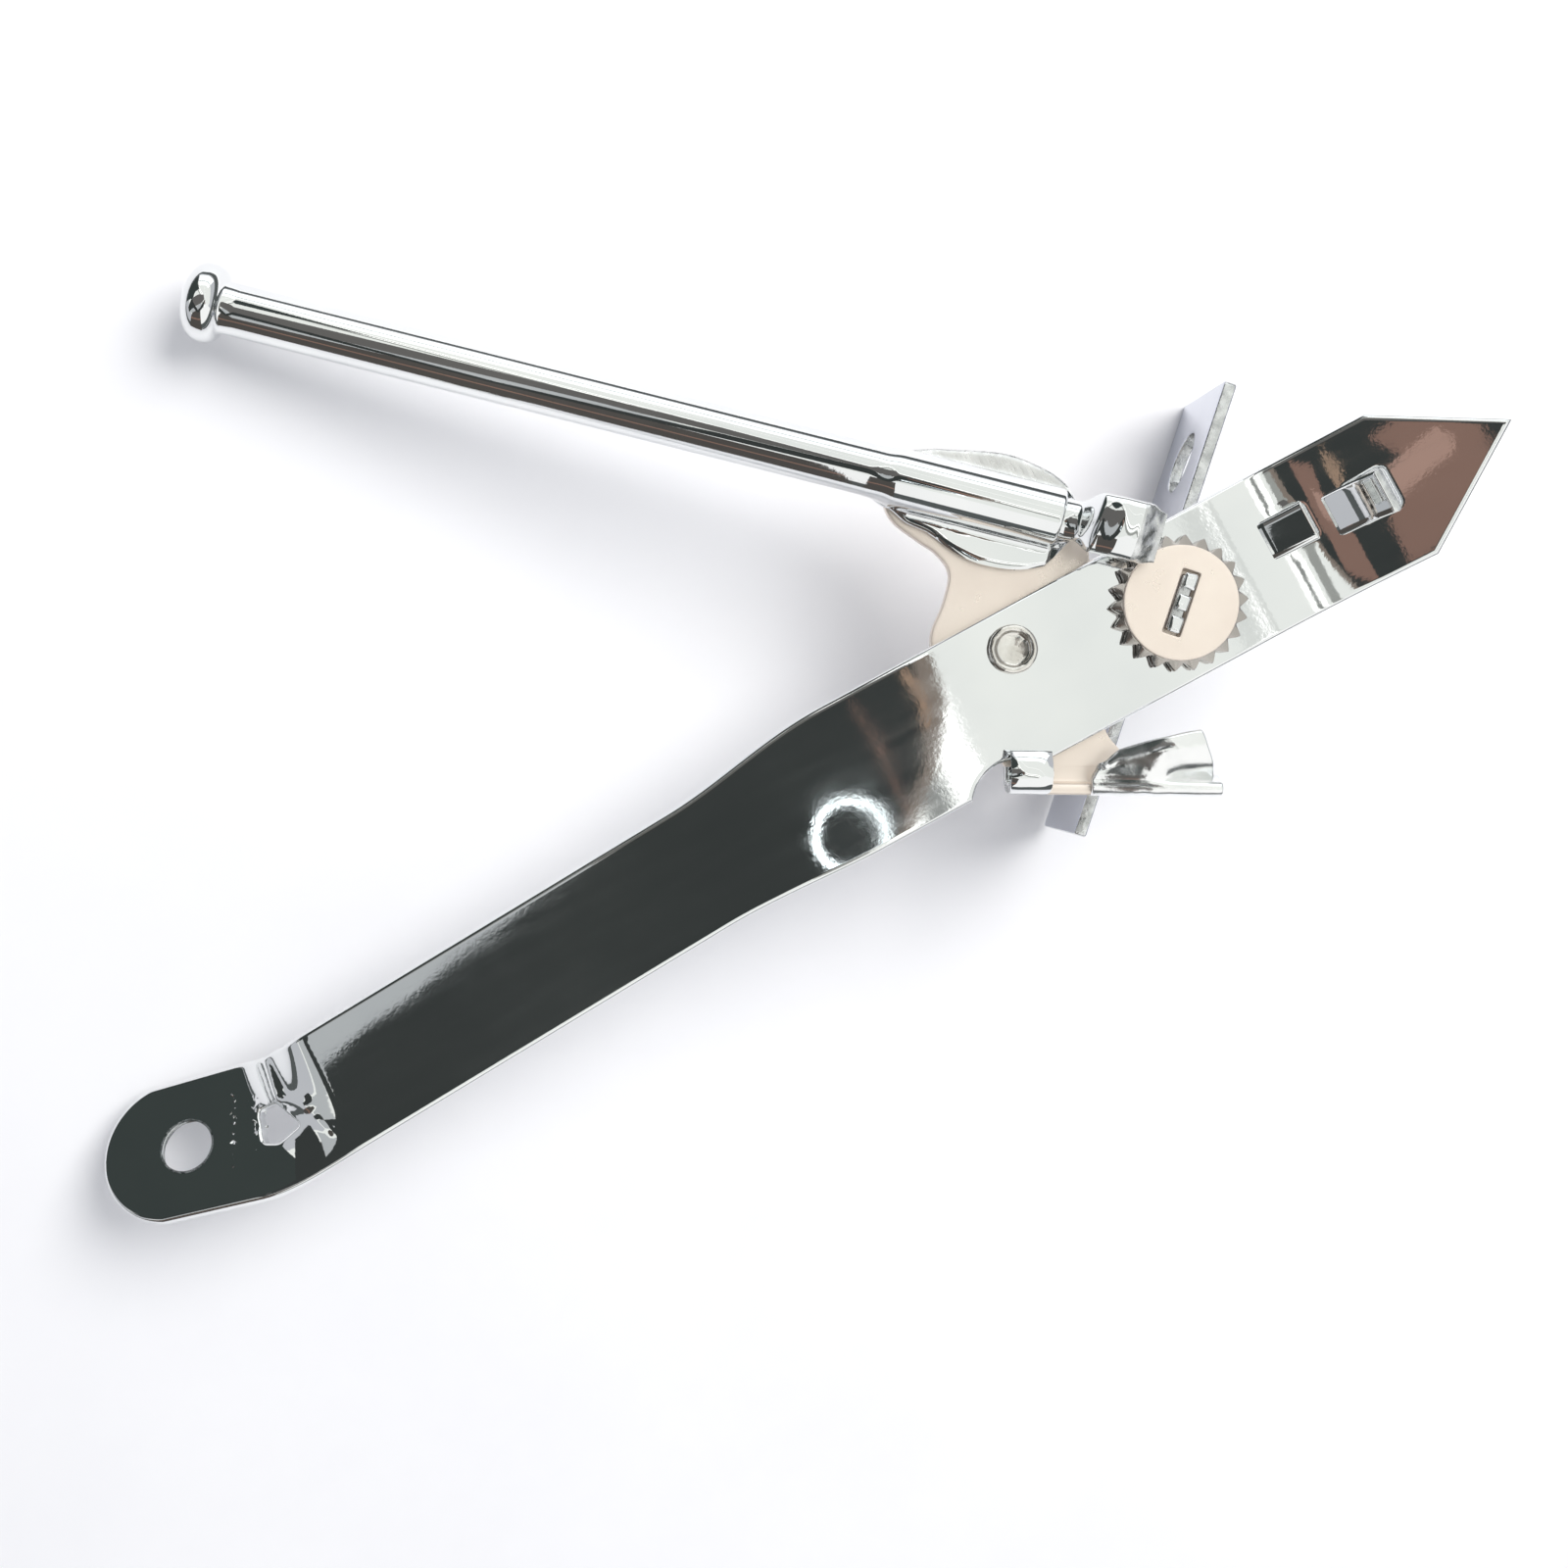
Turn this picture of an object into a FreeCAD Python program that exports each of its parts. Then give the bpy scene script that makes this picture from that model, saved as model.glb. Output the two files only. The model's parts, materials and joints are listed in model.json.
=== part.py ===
import FreeCAD, Part
import math
import os

# Hand can opener with a church-key tip, millimetres.
# Tool frame, used while shaping: origin on the pivot axis at the frame plate's front face,
# +x towards the punching tip, +y towards the lever bar, +z out of the front face.
# After shaping, the whole tool is laid down as it rests on a bench: +Z up, origin at the
# middle of its footprint.

Vector = FreeCAD.Vector

# ---- driving dimensions ----------------------------------------------------------------
SHEET = 1.5                    # frame plate thickness
HEAD_TOP = 4.9                 # head edge on the lever bar side
HEAD_LOW = -13.8               # head edge on the blade side
HANDLE_SLOPE = math.radians(2.8)
HANDLE_WIDTH = 15.5
HEAD_END_X = -24.0             # the head starts to narrow into the handle here
WAIST_X = -46.0                # the handle has its own width from here
WAIST_TOP = 2.3                # upper edge at the waist
TWIST_START_X = -97.0          # the flat handle ends, the tilted hang end begins

END_TILT = math.radians(30)    # the hang end leans back about its own long axis
END_SLOPE = math.radians(13)   # direction of the hang end in the plate's plane
END_TOP = (-108.6, 0.1)        # corners of the finished twist, upper and lower
END_LOW = (-110.5, -15.2)
END_ARC = ((-119.3, 2.4), (-127.9, -4.2), (-122.8, -12.0))
HANG_HOLE = (-117.2, -5.7)
HANG_HOLE_R = 3.9
RIB_R = 1.9                    # pressed rib at the cap lifter's window
LIFTER_WINDOW = [(-107.4, -5.9), (-104.8, -6.4), (-102.9, -9.6), (-106.4, -10.4), (-108.3, -9.6)]

TIP_BEND_X = 29.0              # the punching tip curls forward from here
TIP_BEND = math.radians(20)
TIP_BEND_R = 40.0
TIP_SHOULDER_X = 48.6
TIP_APEX = (61.6, -3.6)

NOTCH = (-8.2, -16.9)          # clearance notch for the lever's guide tab
NOTCH_R = 5.5

RIVET_SHANK_R = 2.2
RIVET_HEAD_R = 3.0
RIVET_HEAD_H = 0.9
RIVET_DISH_R = 2.0
RIVET_WASHER_R = 4.0
RIVET_WASHER_T = 0.6
RUNNING_GAP = 0.05             # radial gap of everything that turns

WHEEL = (20.0, -4.6)           # feed wheel centre
WHEEL_TIP_R = 8.25
WHEEL_ROOT_R = 7.15
WHEEL_FACE_R = 6.9
WHEEL_TEETH = 22
WHEEL_BACK = 0.2
WHEEL_RIM_FRONT = 1.5
WHEEL_FRONT = 2.0
HUB_R = 4.4

KEY_ANGLE = math.atan2(0.683, 0.730)
KEY_LENGTH = 60.0
KEY_T = 1.6
KEY_TOP = -10.0                # upper edge of the wings
KEY_WASHER_R = 6.2
KEY_LOW = -29.0                # lower edge of the wings
KEY_STEM_W = 7.0
KEY_SHOULDER = -3.0            # the stem widens into shoulders below this
KEY_SHOULDER_W = 13.0
KEY_HOLE_R = 4.0
KEY_HOLE_INSET = 9.5
KEY_CORNER_R = 1.2
TANG_TOP = 2.35                # the tang is hammered over the wheel's face

LEVER_FRONT = -1.65
LEVER_T = 1.4
FLANGE_OUTER = -17.4           # turned-up flange, measured square to it from the pivot
FLANGE_TURN = math.atan2(-0.484, 0.875)

BAR_R = 3.15
BAR_Z = 1.35
BAR_HEAD_END = (-3.1, 25.2)    # the round bar meets its forged end here
BAR_DIR = (0.737, -0.676)
BAR_LENGTH = 84.0              # from the forged end to the dome
DOME_R = 4.7
BOSS_R = 3.45
BOSS_LENGTH = 20.8
BOSS_ROUND = 0.5               # rounding of the boss's flat end
NECK_R = 2.2                   # waist between the boss and the pad
NECK_LIFT = 1.1
FIN_T = 0.9
PAD_START = 23.4               # the pad begins here along the bar
PAD_LENGTH = 9.0
PAD_WIDTH = 7.0
PAD_T = 2.9
PAD_Z = 3.1                    # underside of the pad, clear of the wheel's face
PAD_RISE = math.radians(5)


# ---- small helpers ---------------------------------------------------------------------
def point(xy, z=0.0):
    return Vector(xy[0], xy[1], z)


def line(a, b):
    return Part.LineSegment(a, b).toShape()


def arc(a, b, c):
    return Part.Arc(a, b, c).toShape()


def bezier(poles):
    curve = Part.BezierCurve()
    curve.setPoles(poles)
    return curve


def smooth_curve(start, start_dir, end, end_dir):
    """A cubic from start to end that leaves and arrives along the given directions."""
    third = (end - start).Length / 3
    return bezier([start, start + start_dir * third, end - end_dir * third, end])


def direction(angle):
    return Vector(math.cos(angle), math.sin(angle), 0)


def prism(edges, low, high):
    face = Part.Face(Part.Wire(Part.__sortEdges__(edges)))
    face.translate(Vector(0, 0, low))
    return face.extrude(Vector(0, 0, high - low))


def polygon_prism(points, low, high):
    wire = Part.makePolygon([point(p, low) for p in points + points[:1]])
    return Part.Face(wire).extrude(Vector(0, 0, high - low))


def cylinder(centre, radius, low, high):
    return Part.makeCylinder(radius, high - low, point(centre, low))


def spline(points):
    curve = Part.BSplineCurve()
    curve.interpolate([point(p) for p in points])
    return curve.toShape()


def one_solid(shape):
    clean = shape.removeSplitter()
    return max(clean.Solids, key=lambda solid: solid.Volume)


# ---- frame plate -----------------------------------------------------------------------
def handle_top(x):
    return WAIST_TOP + (x - WAIST_X) * math.tan(HANDLE_SLOPE)


def handle_low(x):
    return handle_top(x) - HANDLE_WIDTH / math.cos(HANDLE_SLOPE)


def side_profile():
    """The flat sheet and its forward-curled tip, seen from the side and drawn across y."""
    def curl(radius, angle):
        return Vector(TIP_BEND_X + radius * math.sin(angle), 0, TIP_BEND_R - radius * math.cos(angle))

    back_r = TIP_BEND_R + SHEET
    run = Vector(math.cos(TIP_BEND), 0, math.sin(TIP_BEND)) * 30
    front = [curl(TIP_BEND_R, TIP_BEND * k / 2) for k in range(3)]
    back = [curl(back_r, TIP_BEND * k / 2) for k in range(3)]
    start_front = Vector(TWIST_START_X, 0, 0)
    start_back = Vector(TWIST_START_X, 0, -SHEET)
    edges = [
        line(start_front, front[0]),
        arc(*front),
        line(front[2], front[2] + run),
        line(front[2] + run, back[2] + run),
        line(back[2] + run, back[2]),
        arc(*reversed(back)),
        line(back[0], start_back),
        line(start_back, start_front),
    ]
    face = Part.Face(Part.Wire(edges))
    face.translate(Vector(0, -30, 0))
    return face.extrude(Vector(0, 60, 0))


def plate_outline():
    """Head, tip and handle in plan, as far as the twist."""
    along = Vector(-math.cos(HANDLE_SLOPE), -math.sin(HANDLE_SLOPE), 0)
    back = Vector(-1, 0, 0)
    head_top = Vector(HEAD_END_X, HEAD_TOP, 0)
    head_low = Vector(HEAD_END_X, HEAD_LOW, 0)
    waist_top = Vector(WAIST_X, handle_top(WAIST_X), 0)
    waist_low = Vector(WAIST_X, handle_low(WAIST_X), 0)
    end_top = Vector(TWIST_START_X, handle_top(TWIST_START_X), 0)
    end_low = Vector(TWIST_START_X, handle_low(TWIST_START_X), 0)
    shoulder_top = Vector(TIP_SHOULDER_X, HEAD_TOP, 0)
    shoulder_low = Vector(TIP_SHOULDER_X, HEAD_LOW, 0)
    apex = point(TIP_APEX)
    return [
        line(shoulder_top, head_top),
        smooth_curve(head_top, back, waist_top, along).toShape(),
        line(waist_top, end_top),
        line(end_top, end_low),
        line(end_low, waist_low),
        smooth_curve(waist_low, along * -1, head_low, back * -1).toShape(),
        line(head_low, shoulder_low),
        line(shoulder_low, apex),
        line(apex, shoulder_top),
    ]


def lean(across, tilt):
    """The direction across the tilted sheet and its front normal, from the plan direction."""
    deep = Vector(0, 0, 1)
    return across * math.cos(tilt) - deep * math.sin(tilt), across * math.sin(tilt) + deep * math.cos(tilt)


def twist_edges():
    """Plan curves of the twist's upper and lower edges."""
    along = Vector(-math.cos(HANDLE_SLOPE), -math.sin(HANDLE_SLOPE), 0)
    end_along = direction(math.pi - END_SLOPE)
    top_start = Vector(TWIST_START_X, handle_top(TWIST_START_X), 0)
    low_start = Vector(TWIST_START_X, handle_low(TWIST_START_X), 0)
    top = smooth_curve(top_start, along, point(END_TOP), end_along)
    low = smooth_curve(low_start, along, point(END_LOW), end_along)
    return top, low


def twist_station(s):
    """Lower corner, full slant vector and front normal of the twist at s, from 0 to 1."""
    top, low = twist_edges()
    tilt = END_TILT * s * s * (3 - 2 * s)
    lower = low.value(s)
    across = top.value(s) - lower
    width = across.Length / math.cos(tilt)
    slant, normal = lean(across.normalize(), tilt)
    return lower, slant * width, normal


def twist():
    """The stretch where the handle leans back into the hang end, lofted through sections."""
    sections = []
    steps = 8
    for k in range(steps + 1):
        lower, slant, normal = twist_station(k / steps)
        corners = [lower, lower + slant, lower + slant - normal * SHEET, lower - normal * SHEET]
        sections.append(Part.makePolygon(corners + corners[:1]))
    return Part.makeLoft(sections, True, False)


def end_frame():
    """Lower corner, direction across and front normal of the flat, tilted hang end."""
    low = point(END_LOW)
    across = (point(END_TOP) - low).normalize()
    slant, normal = lean(across, END_TILT)
    return low, across, slant, normal


def on_end(xy):
    """A plan point carried down onto the tilted front face of the hang end."""
    low, across, slant, normal = end_frame()
    flat = point(xy)
    drop = normal.dot(flat - low) / normal.z
    return flat - Vector(0, 0, drop)


def hang_end():
    normal = end_frame()[3]
    top = on_end(END_TOP)
    low = point(END_LOW)
    start, middle, finish = [on_end(p) for p in END_ARC]
    edges = [line(low, top), line(top, start), arc(start, middle, finish), line(finish, low)]
    slab = Part.Face(Part.Wire(edges)).extrude(normal * -SHEET)
    centre = on_end(HANG_HOLE)
    hole = Part.makeCylinder(HANG_HOLE_R, 8, centre + normal * 4, normal * -1)
    return slab.cut(hole)


def lifter_rib():
    """The pressed rib that runs up from the cap lifter's window, raised on the front face."""
    lower, slant, normal = twist_station(0.52)
    foot = lower + slant * 0.62 - normal * 0.9
    crown = lower + slant * 0.86 - normal * 1.2
    body = Part.makeCylinder(RIB_R, (crown - foot).Length, foot, crown - foot)
    return body.fuse([Part.makeSphere(RIB_R, foot), Part.makeSphere(RIB_R, crown)])


def tip_place(x, y, lift=0.0):
    """A placement on the curled tip: plan position, lifted square to the front face."""
    angle = min(math.asin((x - TIP_BEND_X) / TIP_BEND_R), TIP_BEND)
    bend_end = TIP_BEND_X + TIP_BEND_R * math.sin(TIP_BEND)
    z = TIP_BEND_R * (1 - math.cos(angle)) + max(0.0, x - bend_end) * math.tan(TIP_BEND)
    normal = Vector(-math.sin(angle), 0, math.cos(angle))
    turn = FreeCAD.Rotation(Vector(0, 1, 0), -math.degrees(angle))
    return FreeCAD.Placement(Vector(x, y, z) + normal * lift, turn)


def side_strip(points, width):
    """A sheet strip from its side view (x, z), centred across y."""
    wire = Part.makePolygon([Vector(x, -width / 2, z) for x, z in points + points[:1]])
    return Part.Face(wire).extrude(Vector(0, width, 0))


def rest_catch():
    """The low catch: a short tab pressed up like a ramp, open towards the tip."""
    strip = side_strip([(-2.6, -1.2), (-2.6, 0.2), (2.2, 1.5), (3.0, 1.5), (3.0, 0.2), (0.4, -1.2)], 4.6)
    strip.Placement = tip_place(35.4, -3.2)
    return strip


def hook_catch():
    """The tall catch: a tongue that rises, runs towards the tip and ends sheared off."""
    tongue = side_strip([(-3.4, -1.2), (-3.4, 0.3), (-1.9, 2.4), (0.6, 3.5), (3.9, 3.6), (3.9, 2.3),
                         (1.2, 2.1), (-0.4, 1.2), (-1.0, -1.2)], 4.8)
    tongue.Placement = tip_place(44.0, -4.1)
    return tongue


def catch_window():
    """The hole that the tall catch leaves in the tip as it is pressed out."""
    window = side_strip([(0.0, -3.0), (0.0, 1.0), (3.6, 1.0), (3.6, -3.0)], 4.8)
    window.Placement = tip_place(44.0, -4.1)
    return window


def make_frame_plate():
    flat = side_profile().common(prism(plate_outline(), -20, 40))
    body = flat.fuse([twist(), hang_end()])
    body = body.cut(cylinder(NOTCH, NOTCH_R, -5, 5))
    body = body.cut(cylinder((0, 0), RIVET_SHANK_R + RUNNING_GAP, -5, 5))
    body = body.cut(cylinder(WHEEL, HUB_R + RUNNING_GAP, -5, 5))
    body = body.cut(catch_window())
    body = body.fuse([rest_catch(), hook_catch(), lifter_rib()])
    return one_solid(body.cut(polygon_prism(LIFTER_WINDOW, -12, 4)))


# ---- pivot rivet -----------------------------------------------------------------------
def make_pivot_rivet():
    """A semi-tubular rivet: dished front head, shank through both plates and the washer."""
    back = LEVER_FRONT - LEVER_T - RIVET_WASHER_T - 0.1
    low = back - 0.9
    profile = [
        Vector(0, 0, low),
        Vector(RIVET_HEAD_R - 0.4, 0, low),
        Vector(RIVET_HEAD_R, 0, back),
        Vector(RIVET_SHANK_R, 0, back),
        Vector(RIVET_SHANK_R, 0, 0.05),
        Vector(RIVET_HEAD_R, 0, 0.05),
        Vector(RIVET_HEAD_R, 0, RIVET_HEAD_H - 0.35),
        Vector(RIVET_HEAD_R - 0.3, 0, RIVET_HEAD_H),
        Vector(RIVET_DISH_R + 0.1, 0, RIVET_HEAD_H),
        Vector(RIVET_DISH_R - 0.25, 0, RIVET_HEAD_H - 0.35),
        Vector(0, 0, RIVET_HEAD_H - 0.6),
    ]
    face = Part.Face(Part.makePolygon(profile + profile[:1]))
    return face.revolve(Vector(0, 0, 0), Vector(0, 0, 1), 360)


def make_pivot_washer():
    top = LEVER_FRONT - LEVER_T - 0.05
    ring = cylinder((0, 0), RIVET_WASHER_R, top - RIVET_WASHER_T, top)
    return ring.cut(cylinder((0, 0), RIVET_SHANK_R + RUNNING_GAP, top - 2, top + 1))


# ---- feed wheel and turning key --------------------------------------------------------
def wheel_outline():
    points = []
    for k in range(WHEEL_TEETH):
        for radius, offset in ((WHEEL_ROOT_R, 0.0), (WHEEL_TIP_R, 0.5)):
            angle = 2 * math.pi * (k + offset) / WHEEL_TEETH
            points.append((WHEEL[0] + radius * math.cos(angle), WHEEL[1] + radius * math.sin(angle)))
    return points


def key_place():
    """The wheel's centre, turned to the key's resting direction."""
    turn = FreeCAD.Rotation(Vector(0, 0, 1), math.degrees(KEY_ANGLE))
    return FreeCAD.Placement(point(WHEEL), turn)


def tang_box(grow=0.0, low=-12.0, high=10.0):
    """The key's flat tang as a block through the wheel's centre."""
    length = KEY_STEM_W + 2 * grow
    width = KEY_T + 2 * grow
    block = Part.makeBox(length, width, high - low, Vector(-length / 2, -width / 2, low))
    block.Placement = key_place()
    return block


def make_feed_wheel():
    teeth = polygon_prism(wheel_outline(), WHEEL_BACK, WHEEL_FRONT)
    bevel_top = WHEEL_FRONT + 0.01
    cone = Part.makeCone(WHEEL_TIP_R + 0.5, WHEEL_FACE_R, bevel_top - WHEEL_RIM_FRONT + 0.3,
                         point(WHEEL, WHEEL_RIM_FRONT - 0.3))
    cone = cone.fuse(cylinder(WHEEL, WHEEL_TIP_R + 0.5, WHEEL_BACK - 1, WHEEL_RIM_FRONT - 0.3))
    disc = teeth.common(cone)
    hub = cylinder(WHEEL, HUB_R, -SHEET - 0.35, WHEEL_BACK)
    return one_solid(disc.fuse(hub).cut(tang_box(0.04)))


def key_blank():
    """The key's outline in its own plane (u along the wings, z down the stem)."""
    half = KEY_LENGTH / 2
    r = KEY_CORNER_R
    cut = r * (1 - math.sqrt(0.5))
    right = [
        (KEY_STEM_W / 2, TANG_TOP - 0.4), (KEY_STEM_W / 2, KEY_SHOULDER),
        (KEY_SHOULDER_W / 2, KEY_SHOULDER), (KEY_SHOULDER_W / 2, KEY_TOP + 1.5),
        (KEY_SHOULDER_W / 2 + 1.5, KEY_TOP), (half - r, KEY_TOP),
        (half - cut, KEY_TOP - cut), (half, KEY_TOP - r), (half, KEY_LOW + r),
        (half - cut, KEY_LOW + cut), (half - r, KEY_LOW),
    ]
    left = [(-u, z) for u, z in reversed(right)]
    wire = Part.makePolygon([Vector(u, -KEY_T / 2, z) for u, z in right + left + right[:1]])
    return Part.Face(wire).extrude(Vector(0, KEY_T, 0))


def make_turning_key():
    key = key_blank()
    mid = (KEY_TOP + KEY_LOW) / 2
    for side in (-1, 1):
        u = side * (KEY_LENGTH / 2 - KEY_HOLE_INSET)
        key = key.cut(Part.makeCylinder(KEY_HOLE_R, 4, Vector(u, -2, mid), Vector(0, 1, 0)))
    for u in (-2.55, 0, 2.55):
        stake = Part.makeBox(1.5, KEY_T + 0.7, 0.6, Vector(u - 0.75, -KEY_T / 2 - 0.35, WHEEL_FRONT + 0.02))
        key = key.fuse(stake)
    for u in (-1.275, 1.275):
        key = key.cut(Part.makeBox(0.5, 4, 3, Vector(u - 0.25, -2, WHEEL_FRONT + 0.05)))
    key.Placement = key_place()
    return one_solid(key)


def make_key_washer():
    """A flat washer on the tang, between the frame plate's back and the key's shoulders."""
    ring = cylinder(WHEEL, KEY_WASHER_R, KEY_SHOULDER + 0.05, -SHEET - 0.40)
    return ring.cut(tang_box(0.05))


# ---- lever plate -----------------------------------------------------------------------
def turned(u, v):
    """A point given along and square to the flange, in the tool frame."""
    c, s = math.cos(FLANGE_TURN), math.sin(FLANGE_TURN)
    return (u * c - v * s, u * s + v * c)


def turn_flange(shape):
    shape.rotate(Vector(0, 0, 0), Vector(0, 0, 1), math.degrees(FLANGE_TURN))
    return shape


def cross_strip(profile, start, length):
    """A bent sheet strip: its section in (v, z), drawn along u from start."""
    wire = Part.makePolygon([Vector(start, v, z) for v, z in profile + profile[:1]])
    return turn_flange(Part.Face(wire).extrude(Vector(length, 0, 0)))


def arc_points(centre, radius, start, stop, steps=8):
    return [(centre[0] + radius * math.cos(math.radians(start + (stop - start) * k / steps)),
             centre[1] + radius * math.sin(math.radians(start + (stop - start) * k / steps)))
            for k in range(steps + 1)]


def flange_section(lip_v, lip_z, wrap):
    """Section of the turned-up edge: sheet, quarter bend, wall, and a lip curled over."""
    back = LEVER_FRONT - LEVER_T
    bend = (FLANGE_OUTER + 2.0, back + 2.0)
    outer = arc_points(bend, 2.0, 270, 180)
    inner = arc_points(bend, 2.0 - LEVER_T, 180, 270)
    if not wrap:
        top = [(FLANGE_OUTER, 0.5), (FLANGE_OUTER + LEVER_T, 0.5)]
        return [(-14.0, back)] + outer + top + inner + [(-14.0, LEVER_FRONT)]
    roll_r = 1.7
    roll = (FLANGE_OUTER + roll_r, lip_z - roll_r)
    over = arc_points(roll, roll_r, 180, 100)
    under = arc_points(roll, roll_r - 1.2, 100, 180)
    lip = [(lip_v, lip_z - 0.1), (lip_v, lip_z - 1.2)]
    return [(-14.0, back)] + outer + over + lip + under + inner + [(-14.0, LEVER_FRONT)]


def lever_web():
    """The flat of the lever plate, from the handle down to the flange bend."""
    left = [turned(-0.35, -14.0), (-8.6, -2.5), (-8.9, 2.2), (-7.6, 6.0), (-4.4, 8.8), (-2.1, 11.6),
            (-2.3, 14.4), (-3.6, 17.0), (-5.2, 21.0), (-4.4, 25.6)]
    right = [(1.5, 26.3), (9.5, 21.2), (14.2, 15.5), (15.2, 9.0), (12.8, 3.0), (10.6, -2.5),
             turned(10.9, -14.0)]
    corner_low = point(left[0])
    corner_right = point(right[-1])
    top_edge = line(point(left[-1]), point(right[0]))
    edges = [spline(left), top_edge, spline(right), line(corner_right, corner_low)]
    return prism(edges, LEVER_FRONT - LEVER_T, LEVER_FRONT)


def blade():
    """The plough-shaped cutter, folded from the flange: closed at its heel, open ahead."""
    back = LEVER_FRONT - LEVER_T
    heel = turned_section(10.5, -14.6, 2.6, back)
    middle = turned_section(15.5, -12.3, 3.3, back)
    mouth = turned_section(24.7, -10.2, 4.2, back)
    return turn_flange(Part.makeLoft([heel, middle, mouth], True, True))


def turned_section(u, lip_v, lip_z, back):
    """One section of the cutter: a wall that rises from the flange and leans in to its lip."""
    wall = 1.3
    floor = back + 0.6 + (u - 10.5) * 0.12
    points = [(FLANGE_OUTER, floor), (FLANGE_OUTER, lip_z - 1.6), (FLANGE_OUTER + 1.2, lip_z - 0.3),
              (lip_v, lip_z), (lip_v, lip_z - wall), (FLANGE_OUTER + wall + 0.6, lip_z - wall - 0.5),
              (FLANGE_OUTER + wall, lip_z - 2.4), (FLANGE_OUTER + wall, floor)]
    return Part.makePolygon([Vector(u, v, z) for v, z in points + points[:1]])


def make_lever_plate():
    tab = cross_strip(flange_section(-12.1, 3.0, True), -0.35, 5.15)
    gap = cross_strip(flange_section(0, 0, False), 4.8, 5.75)
    web = lever_web().cut(cylinder((0, 0), RIVET_SHANK_R + RUNNING_GAP, -6, 5))
    return one_solid(web.fuse([tab, gap, blade()]))


# ---- handle bar ------------------------------------------------------------------------
def bar_frame():
    along = Vector(BAR_DIR[0], BAR_DIR[1], 0).normalize()
    start = point(BAR_HEAD_END, BAR_Z)
    return start, along


def bar_and_dome():
    """The round bar with its upset, domed end."""
    start, along = bar_frame()
    bar = Part.makeCylinder(BAR_R, BAR_LENGTH + 6, start - along * (BAR_LENGTH - 2), along)
    centre = start - along * BAR_LENGTH
    ball = Part.makeSphere(DOME_R, centre)
    keep = Part.makeCylinder(DOME_R + 1, 4.6, centre - along * 2.6, along)
    return bar.fuse(ball.common(keep))


def boss():
    """The forged end of the bar, its underside flattened onto the lever plate."""
    start, along = bar_frame()
    body = Part.makeCylinder(BOSS_R, BOSS_LENGTH, start, along)
    rims = [edge for edge in body.Edges if edge.Curve.TypeId == "Part::GeomCircle"]
    end = max(rims, key=lambda edge: (edge.Curve.Center - start).dot(along))
    body = body.makeFillet(BOSS_ROUND, [end])
    taper = Part.makeCone(BAR_R, BOSS_R, 3, start - along * 3, along)
    neck_start = start + along * (BOSS_LENGTH - 2) + Vector(0, 0, NECK_LIFT)
    neck = Part.makeCylinder(NECK_R, PAD_START - BOSS_LENGTH + 5, neck_start, along)
    return body.fuse([taper, neck])


def fins():
    """The thin flash pressed out along both sides of the forged end."""
    top = [(-1.0, 27.3), (4.0, 25.5), (10.9, 20.9), (14.5, 16.5), (16.0, 12.4)]
    low = [(9.7, 6.8), (5.3, 8.0), (1.5, 10.8), (-0.5, 13.5), (-1.9, 17.0), (-4.0, 19.4), (-4.9, 22.6)]
    ends = [line(point(top[-1]), point(low[0])), line(point(low[-1]), point(top[0]))]
    edges = [spline(top), ends[0], spline(low), ends[1]]
    return prism(edges, LEVER_FRONT, LEVER_FRONT + FIN_T)


def pad():
    """The flattened end of the bar that reaches over the frame plate and the wheel's rim."""
    start, along = bar_frame()
    block = Part.makeBox(PAD_LENGTH, PAD_WIDTH, PAD_T, Vector(0, -PAD_WIDTH / 2, 0))
    corners = [edge for edge in block.Edges if abs(edge.Vertexes[0].Z - edge.Vertexes[-1].Z) > 1]
    block = block.makeFillet(2.2, corners)
    spread = math.degrees(math.atan2(along.y, along.x))
    block.rotate(Vector(0, 0, 0), Vector(0, 1, 0), -math.degrees(PAD_RISE))
    block.rotate(Vector(0, 0, 0), Vector(0, 0, 1), spread)
    foot = start + along * PAD_START
    block.translate(Vector(foot.x, foot.y, PAD_Z))
    return block


def make_handle_bar():
    body = bar_and_dome().fuse([boss(), fins(), pad()])
    under = Part.makeBox(60, 60, 20, Vector(-20, -10, LEVER_FRONT - 20))
    return one_solid(body.cut(under))


# ---- laying the tool down --------------------------------------------------------------
def bench_turn(shapes):
    """The turn that carries the tool from its shaping frame to its resting pose.

    It rests on three points: the near lower corner of the key, the underside of the dome
    and the deep edge of the hang end.
    """
    u = direction(KEY_ANGLE)
    key_foot = point(WHEEL, KEY_LOW) - u * (KEY_LENGTH / 2 - KEY_CORNER_R)
    start, along = bar_frame()
    dome = start - along * BAR_LENGTH
    normal = Vector(0, 0, 1)
    for _ in range(20):
        hang_foot = min((v.Point for v in shapes["frame_plate"].Vertexes), key=normal.dot)
        side = dome - normal * DOME_R
        normal = (side - key_foot).cross(hang_foot - key_foot).normalize()
        if normal.z < 0:
            normal = normal * -1
    return FreeCAD.Rotation(normal, Vector(0, 0, 1))


def lay_down(shapes):
    turn = bench_turn(shapes)
    for shape in shapes.values():
        shape.Placement = FreeCAD.Placement(Vector(0, 0, 0), turn).multiply(shape.Placement)
    box = Part.makeCompound(list(shapes.values())).optimalBoundingBox(False)
    shift = Vector(-box.Center.x, -box.Center.y, -box.ZMin)
    for shape in shapes.values():
        shape.translate(shift)
    return FreeCAD.Placement(shift, turn)


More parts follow.
